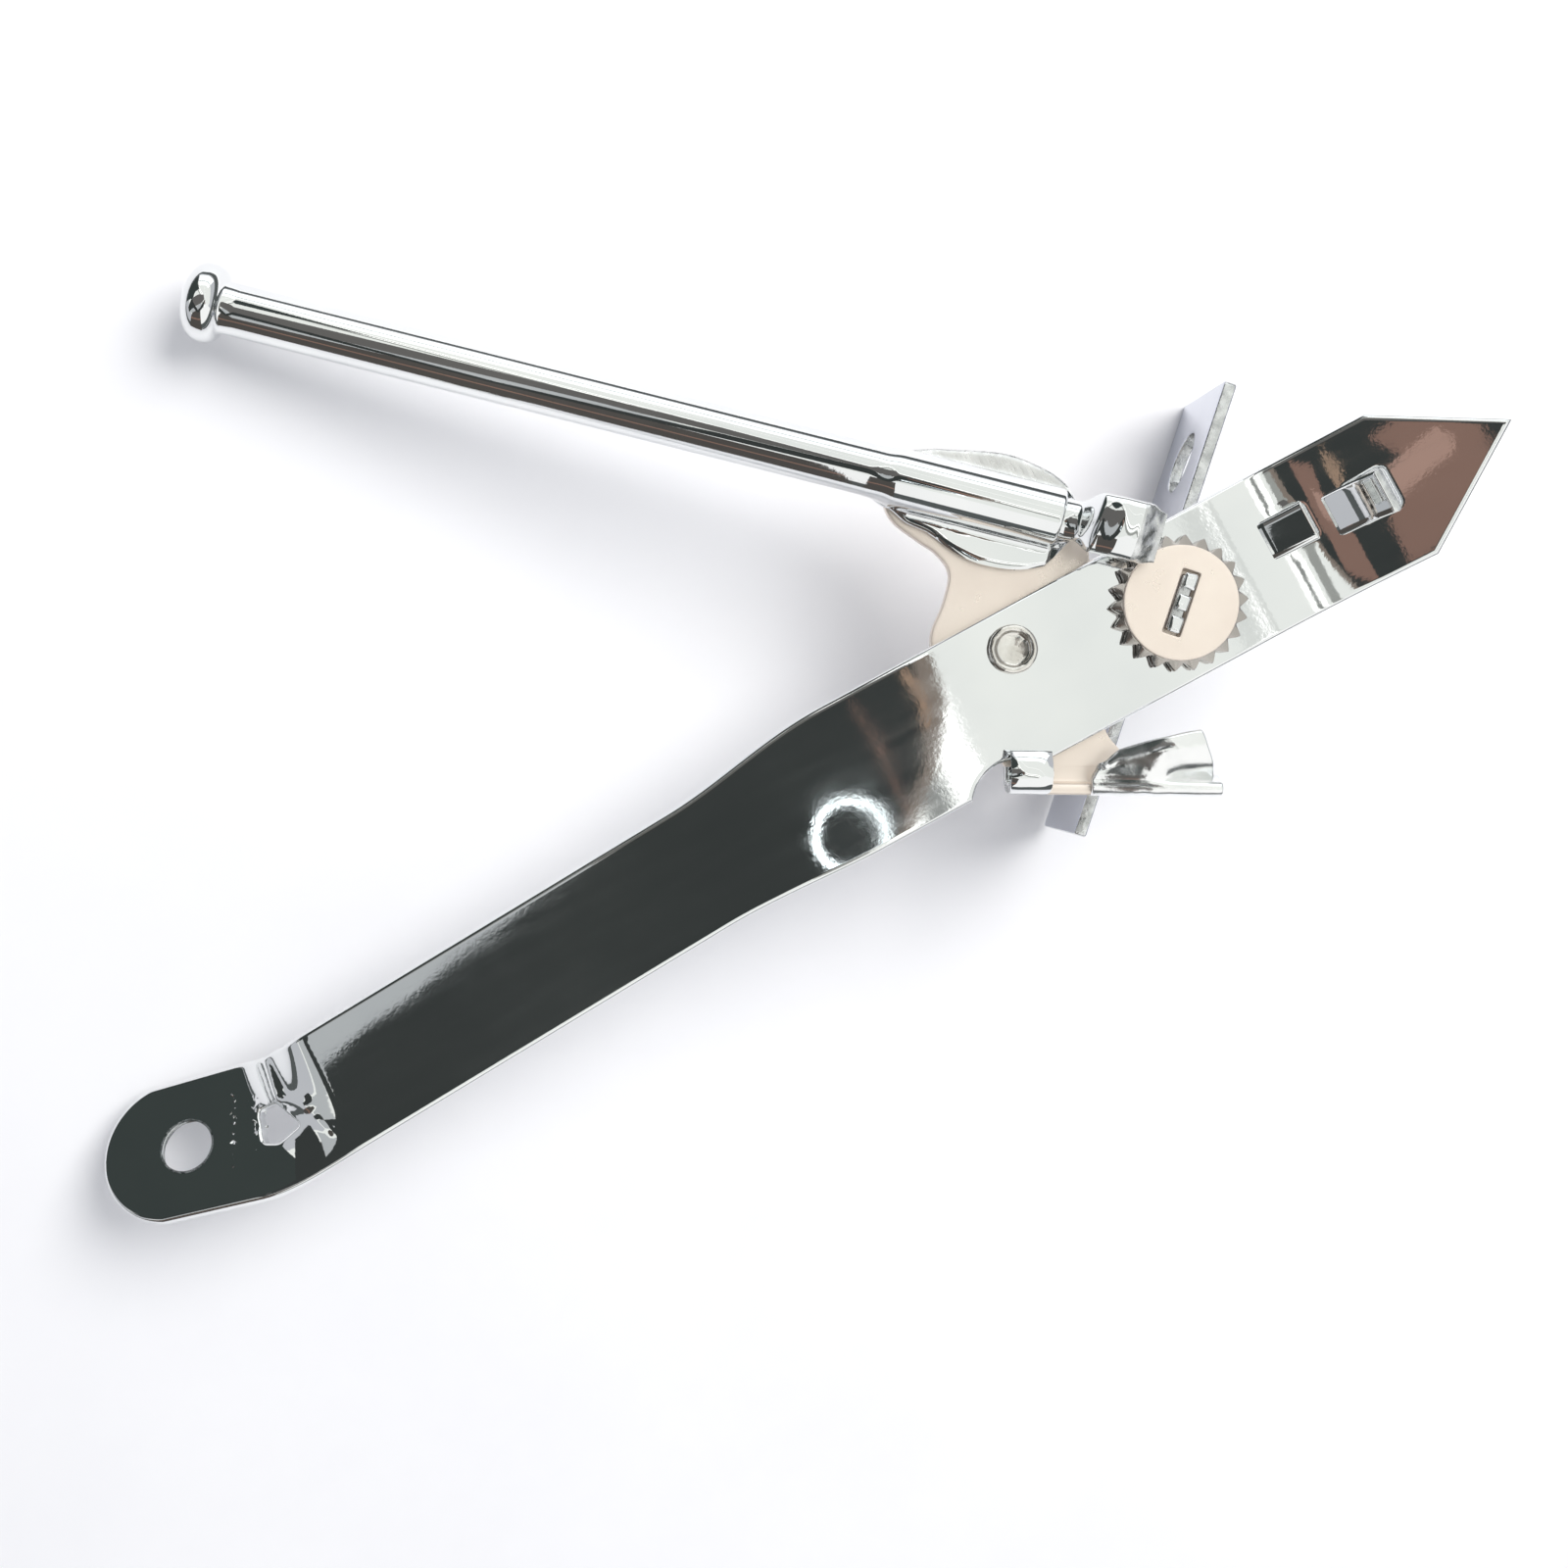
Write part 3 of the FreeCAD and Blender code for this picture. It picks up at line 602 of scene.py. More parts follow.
def key_turned(u, v, z):
    """A point along (u) and across (v) the tang, in the tool frame."""
    c, s = math.cos(KEY_ANGLE), math.sin(KEY_ANGLE)
    return Vector((WHEEL[0] + u * c - v * s, WHEEL[1] + u * s + v * c, z))


def make_feed_wheel():
    bm = bmesh.new()
    slot = rounded([(-4.0, -1.1), (-4.0, 1.1), (4.0, 1.1), (4.0, -1.1)], 0.25)
    disc = circle_loop((0, 0), WHEEL_FACE_R, 132, False)

    def face(x, y):
        return key_turned(x, y, WHEEL_FRONT), Vector((0, 0, 1))

    add_sheet(bm, [disc, resample(slot, 0.6)], face, 1.7, 0.14, 0.1, seed_grid(-6.5, 6.5, -6.5, 6.5, 2.0))
    samples = 10
    count = WHEEL_TEETH * samples
    section = ((0.0, 6.3, 1.55), (0.0, 6.82, 1.62), (0.15, 6.9, 1.6), (0.9, 6.95, 1.45), (1.0, 7.0, 1.32),
               (1.0, 7.0, 0.45), (0.85, 7.0, WHEEL_BACK), (0.0, 6.2, WHEEL_BACK))
    rows = []
    for k in range(count + 1):
        angle = math.tau * k / count
        reach = tooth_radius(k / samples) - WHEEL_FACE_R
        row = [(base if share < 0.5 else WHEEL_FACE_R) + reach * share for share, base, z in section]
        rows.append([Vector((WHEEL[0] + r * math.cos(angle), WHEEL[1] + r * math.sin(angle), z))
                     for r, (share, base, z) in zip(row, section)])
    add_rows(bm, rows, True, 1)
    hub = [(0.01, -1.85), (HUB_R - 0.2, -1.85), (HUB_R, -1.7), (HUB_R, 0.3), (0.01, 0.3)]
    loft(bm, turned(hub, WHEEL, 72))
    # The toothed rim gets a dark chrome colour: painted shade on the teeth and their flanks.
    materials = [satin_nickel("wheel_nickel"),
                 chrome("tooth_painted_shade", 0.12, (0.34, 0.31, 0.29), (0.58, 0.55, 0.52))]
    return finish_piece("feed_wheel_toothed", bm, materials, "key", ["feed_wheel"], 30)


# ---- turning key -----------------------------------------------------------------------
def key_loops():
    """The key's outline and its two round holes, in its own plane (along the wings, height)."""
    half = KEY_LENGTH / 2
    shoulder, stem = KEY_SHOULDER_W / 2, KEY_STEM_W / 2
    right = [(half, KEY_LOW), (half, KEY_TOP), (shoulder + 0.8, KEY_TOP), (shoulder, KEY_TOP + 1.4),
             (shoulder, KEY_SHOULDER), (stem, KEY_SHOULDER), (stem, 1.55)]
    left = [(-x, y) for x, y in reversed(right)]
    outline = resample(rounded(right + left, 0.6), 1.0)
    middle = (KEY_TOP + KEY_LOW) / 2
    holes = [circle_loop((side * (half - KEY_HOLE_INSET), middle), KEY_HOLE_R) for side in (-1, 1)]
    return [outline] + holes


def key_lift(u, z):
    return key_turned(u, -KEY_T / 2, z), key_turned(0, -1, 0) - key_turned(0, 0, 0)


def add_stake(bm, u, seed):
    """One hammered square of the tang, swollen over the wheel's face."""
    rows = []
    for lift, grow in ((-0.7, -0.1), (0.1, 0.0), (0.35, 0.02), (0.5, -0.1), (0.55, -0.25), (0.55, -0.5)):
        a, b = 0.95 + grow, 0.75 + grow
        loop = rounded([(-a, -b), (a, -b), (a, b), (-a, b)], 0.25)
        rows.append([key_turned(u + p.x, p.y - 0.15, WHEEL_FRONT - 0.15 + lift) for p in loop])
    first = len(bm.verts)
    loft(bm, rows, 2, 2)
    bm.verts.ensure_lookup_table()
    roughen(bm.verts[first:], 0.12, 1.4, seed)


def make_turning_key():
    bm = bmesh.new()
    add_sheet(bm, key_loops(), key_lift, KEY_T, 0.22, 0.22, seed_grid(-30, 30, -29, 2, 3.0), 0, 1)
    for k, u in enumerate((-2.7, 0.0, 2.7)):
        add_stake(bm, u, 5.0 * k)
    # The key's chrome gets a dull lavender-grey colour: a painted reflection of the shaded floor beside the
    # key.
    materials = [chrome("key_plate_painted_shade", 0.14, (0.58, 0.60, 0.67), (0.68, 0.70, 0.77)), sheared("key_edge"),
                 chrome("stake_chrome", 0.08)]
    return finish_piece("turning_key_pressed", bm, materials, "key", ["turning_key"])


# ---- lever plate -----------------------------------------------------------------------
def flange_point(u, v, z):
    c, s = math.cos(FLANGE_TURN), math.sin(FLANGE_TURN)
    return Vector((u * c - v * s, u * s + v * c, z))


def spline_points(points, step=0.6):
    """A smooth run through the given plan points, about step apart."""
    length = sum(math.dist(a, b) for a, b in zip(points, points[1:]))
    return spline_run(points, max(2, int(length / step)))


def lever_outline():
    start = flange_point(-0.35, -14.2, 0)
    stop = flange_point(13.4, -14.2, 0)
    left = [(start.x, start.y), (-8.6, -2.5), (-8.9, 2.2), (-7.6, 6.0), (-4.4, 8.8), (-2.1, 11.6),
            (-2.3, 14.4), (-3.6, 17.0), (-5.2, 21.0), (-4.4, 25.4)]
    right = [(1.5, 26.1), (9.5, 21.0), (14.0, 15.4), (15.0, 9.0), (12.8, 3.0), (10.4, -3.5), (7.4, -9.8),
             (5.6, -14.2), (6.0, -17.5), (stop.x, stop.y)]
    points = spline_points(left) + spline_points(right)
    return resample(list(reversed(points)), 1.0)


def flange_line(u, lip):
    """Centre line of the turned-up edge at u: web, quarter bend, wall and, if any, a lip."""
    mid_v = FLANGE_OUTER + LEVER_T / 2
    mid_z = LEVER_FRONT - LEVER_T / 2
    line = [(u, -13.6, mid_z), (u, mid_v + 1.6, mid_z), (u, mid_v + 0.35, mid_z + 0.35),
            (u, mid_v, mid_z + 1.6)]
    return line + [(u, v, z) for v, z in lip]


def flange_rows(sections, count):
    """Rows of count points along each section's smooth line, set in the flange's place."""
    return [[flange_point(*p) for p in spline_run(section, count)] for section in sections]


def tab_lip(u):
    """The guide tab curls right over the frame plate's edge."""
    side = abs((u - 1.9) / 2.3)
    drop = 0.35 * side ** 4
    return [(-16.7, 0.9), (-16.35, 2.3 - drop), (-15.1, 3.0 - drop), (-13.6, 2.75 - drop),
            (-12.5, 2.15 - drop)]


def blade_line(u):
    """Centre line of the cutter at u: wall, rounded shoulder, groove and the leaning lip."""
    t = (u - CUTTER_START) / (CUTTER_STOP - CUTTER_START)
    groove = 2.3 * smooth((t - 0.35) / 0.65)
    lip_v = spline_value([(CUTTER_START, -13.9), (12.4, -12.2), (17.3, -10.9), (CUTTER_STOP, -9.8)], u)
    lip_z = mix(1.0, 4.2, smooth(t * 1.4))
    shoulder = mix(0.4, 2.6, smooth(t * 1.8))
    low = mix(-2.4, -1.6, t)
    back = mix(-1.2, 2.9, t)
    return [(u, -16.8, low), (u, -16.95, -0.6), (u, -16.8, shoulder - 0.5), (u, -16.2, shoulder),
            (u, -15.5, shoulder - 0.1 - 0.55 * groove),
            (u - 0.2 * back, -14.9, shoulder + 0.1 - 0.75 * groove),
            (u - 0.5 * back, mix(-14.3, lip_v, 0.25), mix(shoulder, lip_z, 0.5)),
            (u - 0.8 * back, mix(-14.3, lip_v, 0.7), lip_z), (u - back, lip_v, lip_z - 0.15)]


def make_lever_plate():
    bm = bmesh.new()
    add_sheet(bm, [lever_outline()], lambda x, y: (Vector((x, y, LEVER_FRONT)), Vector((0, 0, 1))),
              LEVER_T, 0.2, 0.12, seed_grid(-10, 16, -16, 27, 3.0), 0, 0)
    tab = [flange_line(u, tab_lip(u)) for u in np.linspace(-0.2, 4.1, 12)]
    add_ribbon(bm, flange_rows(tab, 40), LEVER_T - 0.1, 1, 2)
    gap = [flange_line(u, [(-16.7, -0.3)]) for u in np.linspace(3.8, 10.6, 8)]
    add_ribbon(bm, flange_rows(gap, 20), LEVER_T, 0, 2)
    cutter = [blade_line(u) for u in np.linspace(CUTTER_START, CUTTER_STOP, 40)]
    first = len(bm.verts)
    add_ribbon(bm, flange_rows(cutter, 44), 1.15, 3, 2)
    bm.verts.ensure_lookup_table()
    roughen(bm.verts[first:], 0.07, 0.45)
    dent(bm.verts[first:], flange_point(15.6, -16.6, 1.6), 0.7, flange_point(0, 0.35, -0.3))
    materials = [satin_nickel("lever_nickel"), chrome("tab_chrome"), sheared("cutter_edge"),
                 ground_chrome("cutter_chrome")]
    return finish_piece("lever_plate_formed", bm, materials, "lever", ["lever_plate"])


# ---- handle bar ------------------------------------------------------------------------
TOP_FIN = [(-4.0, 3.2), (0.1, 3.6), (5.0, 5.0), (13.2, 6.3), (18.9, 5.5), (22.3, 3.9), (25.0, 2.9)]
LOW_FIN = [(-4.0, 3.2), (0.8, 3.6), (3.3, 4.8), (6.4, 5.4), (9.8, 6.8), (13.1, 7.5), (17.8, 7.0), (22.1, 5.1),
           (25.0, 2.9)]


def round_section(t, half_width, half_height, middle_z, power=2.0):
    """A rounded closed section, starting under its middle and running round by the top-fin side."""
    out = []
    for k in range(SECTION_POINTS):
        a = math.tau * k / SECTION_POINTS - math.pi / 2
        c, s = math.cos(a), math.sin(a)
        q = half_width * math.copysign(abs(c) ** (2 / power), c)
        z = middle_z + half_height * math.copysign(abs(s) ** (2 / power), s)
        out.append((t, q, z))
    return out


def hat_half(boss, fin, top_z):
    """Half of the forged section: flat underside, thin fin, fillet, then the half-round boss."""
    floor = LEVER_FRONT
    tip = FIN_T / 2
    fin = max(fin, boss + 0.15)
    line = [(0.0, floor), (boss * 0.6, floor), (fin - tip, floor)]
    line += [(fin - tip + tip * math.sin(a), floor + tip - tip * math.cos(a))
             for a in np.linspace(0, math.pi, 7)]
    reach = min(0.7, max(0.05, fin - tip - boss))
    line += [(boss + reach, floor + FIN_T)]
    line += [(boss + reach - reach * math.sin(a), floor + FIN_T + reach - reach * math.cos(a))
             for a in np.linspace(0.3, math.pi / 2, 4)]
    middle = min(BAR_Z, top_z - 1.5)
    quarter = SECTION_POINTS // 4
    arc = [(boss * math.cos(a), middle + (top_z - middle) * math.sin(a))
           for a in np.linspace(0, math.pi / 2, quarter + 1)]
    line.append(arc[0])
    return even([Vector(p) for p in line], quarter + 1) + [Vector(p) for p in arc[1:]]


def even(line, count):
    """count points spaced evenly along a polyline."""
    lengths = [0.0]
    for a, b in zip(line, line[1:]):
        lengths.append(lengths[-1] + (b - a).length)
    out = []
    for want in np.linspace(0, lengths[-1], count):
        k = min(len(line) - 2, max(i for i, value in enumerate(lengths) if value <= want + 1e-9))
        span = lengths[k + 1] - lengths[k]
        out.append(line[k].lerp(line[k + 1], (want - lengths[k]) / span if span else 0.0))
    return out


def boss_size(t):
    """Half width and top of the boss at t; it ends square, and the low neck follows."""
    if t > BOSS_END:
        return 2.5, 3.3
    half = curve_through([(-2.0, 3.2), (1.0, 3.45)], t)
    top_z = curve_through([(-3.0, 4.5), (0.5, 4.85), (BOSS_END, 4.75)], t)
    round_off = max(0.0, t - (BOSS_END - BOSS_ROUND))
    drop = BOSS_ROUND - math.sqrt(max(0.0, BOSS_ROUND ** 2 - round_off ** 2))
    return half - drop, top_z - drop


def hat_section(t):
    boss, top_z = boss_size(t)
    right = hat_half(boss, spline_value(TOP_FIN, t), top_z)
    left = hat_half(boss, spline_value(LOW_FIN, t), top_z)
    return [(t, p.x, p.y) for p in right[:-1]] + [(t, -p.x, p.y) for p in reversed(left[1:])]


def pad_section(t):
    """The waist, then the flattened pad, which ends in a slanting sheared face."""
    width = curve_through([(21.0, 2.5), (22.6, 2.35), (24.6, 3.5), (30.4, 3.5), (PAD_END, 2.9)], t)
    height = curve_through([(21.0, 1.6), (24.4, 1.45), (29.0, 1.4), (PAD_END, 0.55)], t)
    crown = [(21.0, 1.8), (22.4, 2.1), (24.8, 4.5), (27.2, 4.95), (29.4, 4.75), (PAD_END, 4.0)]
    middle = curve_through(crown, t)
    ring = round_section(t, width, height, middle, 2.1)
    lean_side = curve_through([(22.6, 0.0), (25.0, PAD_LEAN)], t)
    return [(t, q, z + q * lean_side + (t - 24.6) * PAD_RISE * smooth((t - 23) / 2)) for t, q, z in ring]


def forged_section(t):
    bar = round_section(t, BAR_R, BAR_R, BAR_Z)
    hat = hat_section(t)
    pad = pad_section(t)
    into, out = smooth((t + 4.0) / 4.5), smooth((t - BOSS_END) / 2.6)
    ring = []
    for a, b, c in zip(bar, hat, pad):
        ring.append(tuple(mix(mix(a[k], b[k], into), c[k], out) for k in range(3)))
    return ring


def bar_point(p):
    t, q, z = p
    return BAR_START + BAR_ALONG * t + BAR_SIDE * q + Vector((0, 0, z))


def dome_profile():
    """(t, radius) from the domed end to the shank."""
    far = -BAR_LENGTH
    cap_run = [(far - 0.4 - 2.45 * math.cos(a), 0.02 + (DOME_R - 0.02) * math.sin(a) ** 0.8)
               for a in np.linspace(0.0, math.pi / 2, 16)]
    shoulder = [(far + 0.5, 4.66), (far + 1.1, 4.45), (far + 1.6, 4.05), (far + 1.9, 3.6), (far + 2.05, 3.3),
                (far + 2.3, BAR_R)]
    return cap_run + shoulder


def make_handle_bar():
    bm = bmesh.new()
    sections = [round_section(t, r, r, BAR_Z) for t, r in dome_profile()]
    sections += [round_section(t, BAR_R, BAR_R, BAR_Z) for t in np.linspace(-BAR_LENGTH + 4, -5, 24)]
    turns = [math.pi / 2 * k / 6 for k in range(7)]
    stations = list(np.linspace(-4.2, BOSS_END - BOSS_ROUND - 0.1, 100))
    stations += [BOSS_END - BOSS_ROUND + BOSS_ROUND * math.sin(a) for a in turns]
    stations += list(np.linspace(BOSS_END + 0.04, PAD_END, 60))
    sections += [forged_section(t) for t in stations]
    rows = [[bar_point(p) for p in ring] for ring in sections]
    loft(bm, rows, 0, 1)
    bm.verts.ensure_lookup_table()
    paint_forging(bm)
    materials = [chrome("bar_chrome"), sheared("bar_sheared"), brushed("fin_brushed")]
    return finish_piece("handle_bar_forged", bm, materials, "lever", ["handle_bar"], 50)


def paint_forging(bm):
    """Gives the upper fin its ground finish and the pad's end its sheared one."""
    for face in bm.faces:
        d = face.calc_center_median() - BAR_START
        t, q, z = d.dot(BAR_ALONG), d.dot(BAR_SIDE), d.z
        if q > 3.7 and 1.0 < t < 24.0 and z < 0.0:
            face.material_index = 2
        if t > 29.4:
            face.material_index = 1
    ends = [v for v in bm.verts if (v.co - BAR_START).dot(BAR_ALONG) > 29.6]
    roughen(ends, 0.14, 0.8, 3.0)


# ---- materials -------------------------------------------------------------------------
class Paint:
    """A material under construction: a Principled shader and the object's own coordinates."""
    def __init__(self, name):
        self.material = bpy.data.materials.new(name)
        self.material.use_nodes = True
        self.tree = self.material.node_tree
        self.shader = self.tree.nodes["Principled BSDF"]
        self.place = self.tree.nodes.new("ShaderNodeTexCoord").outputs["Object"]

    def node(self, kind, values):
        """A new node with these input values."""
        made = self.tree.nodes.new(kind)
        for key, value in values.items():
            made.inputs[key].default_value = value
        return made

    def join(self, a, b):
        self.tree.links.new(a, b)

    def noise(self, scale, detail=4.0, stretch=None):
        """Noise over the object, stretched if a scale and a turn per axis are given."""
        made = self.node("ShaderNodeTexNoise", {"Scale": scale, "Detail": detail})
        place = self.place
        if stretch:
            mapping = self.node("ShaderNodeMapping", {"Scale": stretch[0], "Rotation": stretch[1]})
            self.join(place, mapping.inputs["Vector"])
            place = mapping.outputs["Vector"]
        self.join(place, made.inputs["Vector"])
        return made.outputs["Fac"]

    def ramp(self, value, stops):
        made = self.node("ShaderNodeValToRGB", {})
        for element, (position, color) in zip(made.color_ramp.elements, stops):
            element.position = position
            element.color = (*color, 1)
        self.join(value, made.inputs["Fac"])
        return made.outputs["Color"]

    def span(self, value, low, high, start=0.3, stop=0.7):
        made = self.node("ShaderNodeMapRange", {"From Min": start, "From Max": stop, "To Min": low,
                                                "To Max": high})
        self.join(value, made.inputs["Value"])
        return made.outputs["Result"]

    def sum(self, a, b):
        made = self.node("ShaderNodeMath", {})
        self.join(a, made.inputs[0])
        self.join(b, made.inputs[1])
        return made.outputs[0]

    def bump(self, height, strength, distance, below=None):
        made = self.node("ShaderNodeBump", {"Strength": strength, "Distance": distance})
        self.join(height, made.inputs["Height"])
        if below:
            self.join(below, made.inputs["Normal"])
        return made.outputs["Normal"]

    def done(self, color, roughness, normal, metallic=1.0):
        self.join(color, self.shader.inputs["Base Color"])
        self.join(roughness, self.shader.inputs["Roughness"])
        self.join(normal, self.shader.inputs["Normal"])
        self.shader.inputs["Metallic"].default_value = metallic
        return self.material


def chrome(name, dull=0.0, low=(0.80, 0.815, 0.82), high=(0.88, 0.89, 0.885)):
    """Bright plate: faint waviness, fine wiping marks and a few dull smears."""
    paint = Paint(name)
    color = paint.ramp(paint.noise(55, 3), [(0.3, low), (0.7, high)])
    smears = paint.span(paint.noise(38, 5), dull, dull + 0.05, 0.52, 0.75)
    marks = paint.span(paint.noise(260, 6, ((0.25, 2.5, 1.0), (0, 0, 0.3))), 0.015, 0.05)
    waves = paint.bump(paint.noise(70, 1), 0.05, 0.0006)
    pits = paint.bump(paint.noise(1900, 3), 0.03, 0.00006, waves)
    return paint.done(color, paint.sum(smears, marks), pits)


def ground_chrome(name):
    """Plated over the ground cutter: bright, softly dulled, with fine crossing scratches."""
    paint = Paint(name)
    color = paint.ramp(paint.noise(160, 5), [(0.3, (0.86, 0.87, 0.87)), (0.7, (0.95, 0.955, 0.95))])
    scratches = paint.bump(paint.noise(1400, 4, ((1.0, 0.2, 1.0), (0, 0, 0.7))), 0.35, 0.00006)
    nicks = paint.bump(paint.noise(1100, 5), 0.30, 0.00008, scratches)
    return paint.done(color, paint.span(paint.noise(330, 5), 0.10, 0.28), nicks)


def satin_nickel(name):
    """Warm satin nickel: a soft, even sheen with faint rolling lines."""
    paint = Paint(name)
    color = paint.ramp(paint.noise(120, 5), [(0.3, (0.80, 0.705, 0.62)), (0.7, (0.87, 0.78, 0.69))])
    roughness = paint.span(paint.noise(420, 6), 0.26, 0.38)
    lines = paint.bump(paint.noise(900, 4, ((0.3, 3.0, 1.0), (0, 0, 0.9))), 0.10, 0.00005)
    grain = paint.bump(paint.noise(3200, 3), 0.12, 0.00004, lines)
    return paint.done(color, roughness, grain, 0.65)


def worn_nickel(name):
    """Plain plated steel of the rivet and washers, a little dull and dented."""
    paint = Paint(name)
    color = paint.ramp(paint.noise(500, 5), [(0.3, (0.68, 0.65, 0.60)), (0.7, (0.85, 0.83, 0.79))])
    roughness = paint.span(paint.noise(900, 5), 0.10, 0.26)
    dents = paint.bump(paint.noise(1100, 3), 0.35, 0.00010)
    return paint.done(color, roughness, dents)


def brushed(name):
    """The ground flash of the forging: short strokes across it."""
    paint = Paint(name)
    color = paint.ramp(paint.noise(300, 5), [(0.3, (0.66, 0.66, 0.65)), (0.7, (0.86, 0.86, 0.85))])
    strokes = paint.noise(1500, 3, ((1.0, 0.12, 1.0), (0, 0, -0.5)))
    normal = paint.bump(strokes, 0.55, 0.00012)
    return paint.done(color, paint.span(strokes, 0.18, 0.42), normal)


def sheared(name):
    """Plated over a torn, sheared edge: bright but rough."""
    paint = Paint(name)
    color = paint.ramp(paint.noise(700, 6), [(0.3, (0.50, 0.51, 0.51)), (0.7, (0.84, 0.85, 0.85))])
    tears = paint.bump(paint.noise(900, 6), 0.6, 0.00022)
    return paint.done(color, paint.span(paint.noise(1300, 5), 0.14, 0.40), tears)


def floor_paint():
    paint = Paint("pale_board")
    color = paint.ramp(paint.noise(25, 5), [(0.3, (0.90, 0.90, 0.92)), (0.7, (0.93, 0.93, 0.945))])
    normal = paint.bump(paint.noise(900, 4), 0.05, 0.0001)
    return paint.done(color, paint.span(paint.noise(300, 4), 0.55, 0.7), normal, 0.0)


# ---- stage, light and camera -----------------------------------------------------------
CAMERA_BLACK = (0.042, 0.047, 0.046)


def tool(x, y, z):
    return TOOL @ Vector((x, y, z))


def plane(name, corners, material):
    mesh = bpy.data.meshes.new(name)
    middle = sum(corners, Vector()) / len(corners)
    count = len(corners)
    fan = [(k, (k + 1) % count, count) for k in range(count)]
    mesh.from_pydata([tuple(c) for c in corners + [middle]], [], fan)
    mesh.materials.append(material)
    made = link(name, mesh)
    return made


def glow(name, color, strength):
    material = bpy.data.materials.new(name)
    material.use_nodes = True
    tree = material.node_tree
    tree.nodes.clear()
    out = tree.nodes.new("ShaderNodeOutputMaterial")
    light = tree.nodes.new("ShaderNodeEmission")
    light.inputs["Color"].default_value = (*color, 1)
    light.inputs["Strength"].default_value = strength
    tree.links.new(light.outputs[0], out.inputs["Surface"])
    return material


def reflected_only(made):
    """Lets a piece of the studio be seen in the chrome and light or shade nothing else."""
    made.visible_camera = False
    made.visible_diffuse = False
    made.visible_shadow = False
    made.visible_transmission = False
    made.visible_volume_scatter = False


def make_floor():
    reach = 1.5
    corners = [Vector((x * reach, y * reach, 0)) for x, y in ((-1, -1), (1, -1), (1, 1), (-1, 1))]
    plane("floor", corners, floor_paint())


def card(name, outline, z, color, strength=1.0):
    """A flat card parallel to the frame plate, seen only in reflections."""
    reflected_only(plane(name, [tool(x, y, z) for x, y in outline], glow(name, color, strength)))


def leaning(name, outline, before, color):
    """An upright card, edge-on to the handle and open to the curled tip, from (y, z) points."""
    corners = [tool(before + 0.103 * (z - 222), y, z) for y, z in outline]
    reflected_only(plane(name, corners, glow(name, color, 1.0)))


def studio_wall(name, bm, material):
    """Turns a mesh under construction into a piece of the studio, seen only in reflections."""
    mesh = bpy.data.meshes.new(name)
    bm.to_mesh(mesh)
    bm.free()
    mesh.materials.append(material)
    made = link(name, mesh)
    reflected_only(made)


def screen(name, bearings, heights, reach, color, strength=1.0):
    """A curved wall between two bearings and two elevations, in degrees."""
    bm = bmesh.new()
    rows = []
    for rise in np.radians(np.linspace(*heights, 7)):
        row = []
        for turn in np.radians(np.linspace(*bearings, 25)):
            level = reach * math.cos(rise)
            row.append(tool(level * math.cos(turn), level * math.sin(turn), reach * math.sin(rise)))
        rows.append(row)
    add_rows(bm, rows, False)
    studio_wall(name, bm, glow(name, color, strength))


def beside_bar(name, away, low, high, color):
    """An upright wall along the lever bar on its lower side, seen only in reflections."""
    far, near = [BAR_SIDE * -away + BAR_ALONG * along for along in (-230, -6)]
    corners = [tool(p.x, p.y, z) for p, z in ((far, low), (near, low), (near, high), (far, high))]
    reflected_only(plane(name, corners, glow(name, color, 1.0)))


def make_lights():
    world = bpy.data.worlds.new("studio")
    world.use_nodes = True
    background = world.node_tree.nodes["Background"]
    background.inputs["Color"].default_value = (0.93, 0.95, 1.0, 1)
    background.inputs["Strength"].default_value = 0.60
    bpy.context.scene.world = world
    key = bpy.data.lights.new("key_softbox", "AREA")
    key.shape = "DISK"
    key.size = 0.5
    key.energy = 4.2
    key.color = (1.0, 0.985, 0.96)
    lamp = link("key_softbox", key)
    lamp.location = Vector((0.40, 0.14, 0.56))
    lamp.visible_glossy = False
    lamp.rotation_euler = (-lamp.location).to_track_quat("-Z", "Y").to_euler()


def make_ring_lamp():
    bm = bmesh.new()
    loops = [circle_loop((-19.6, -25.0), radius, 48, False) for radius in (6.2, 8.0)]
    add_rows(bm, [[tool(p.x, p.y, 150) for p in loop] for loop in loops])
    studio_wall("ring_lamp", bm, glow("ring_lamp", (0.9, 0.98, 1.0), 2.2))


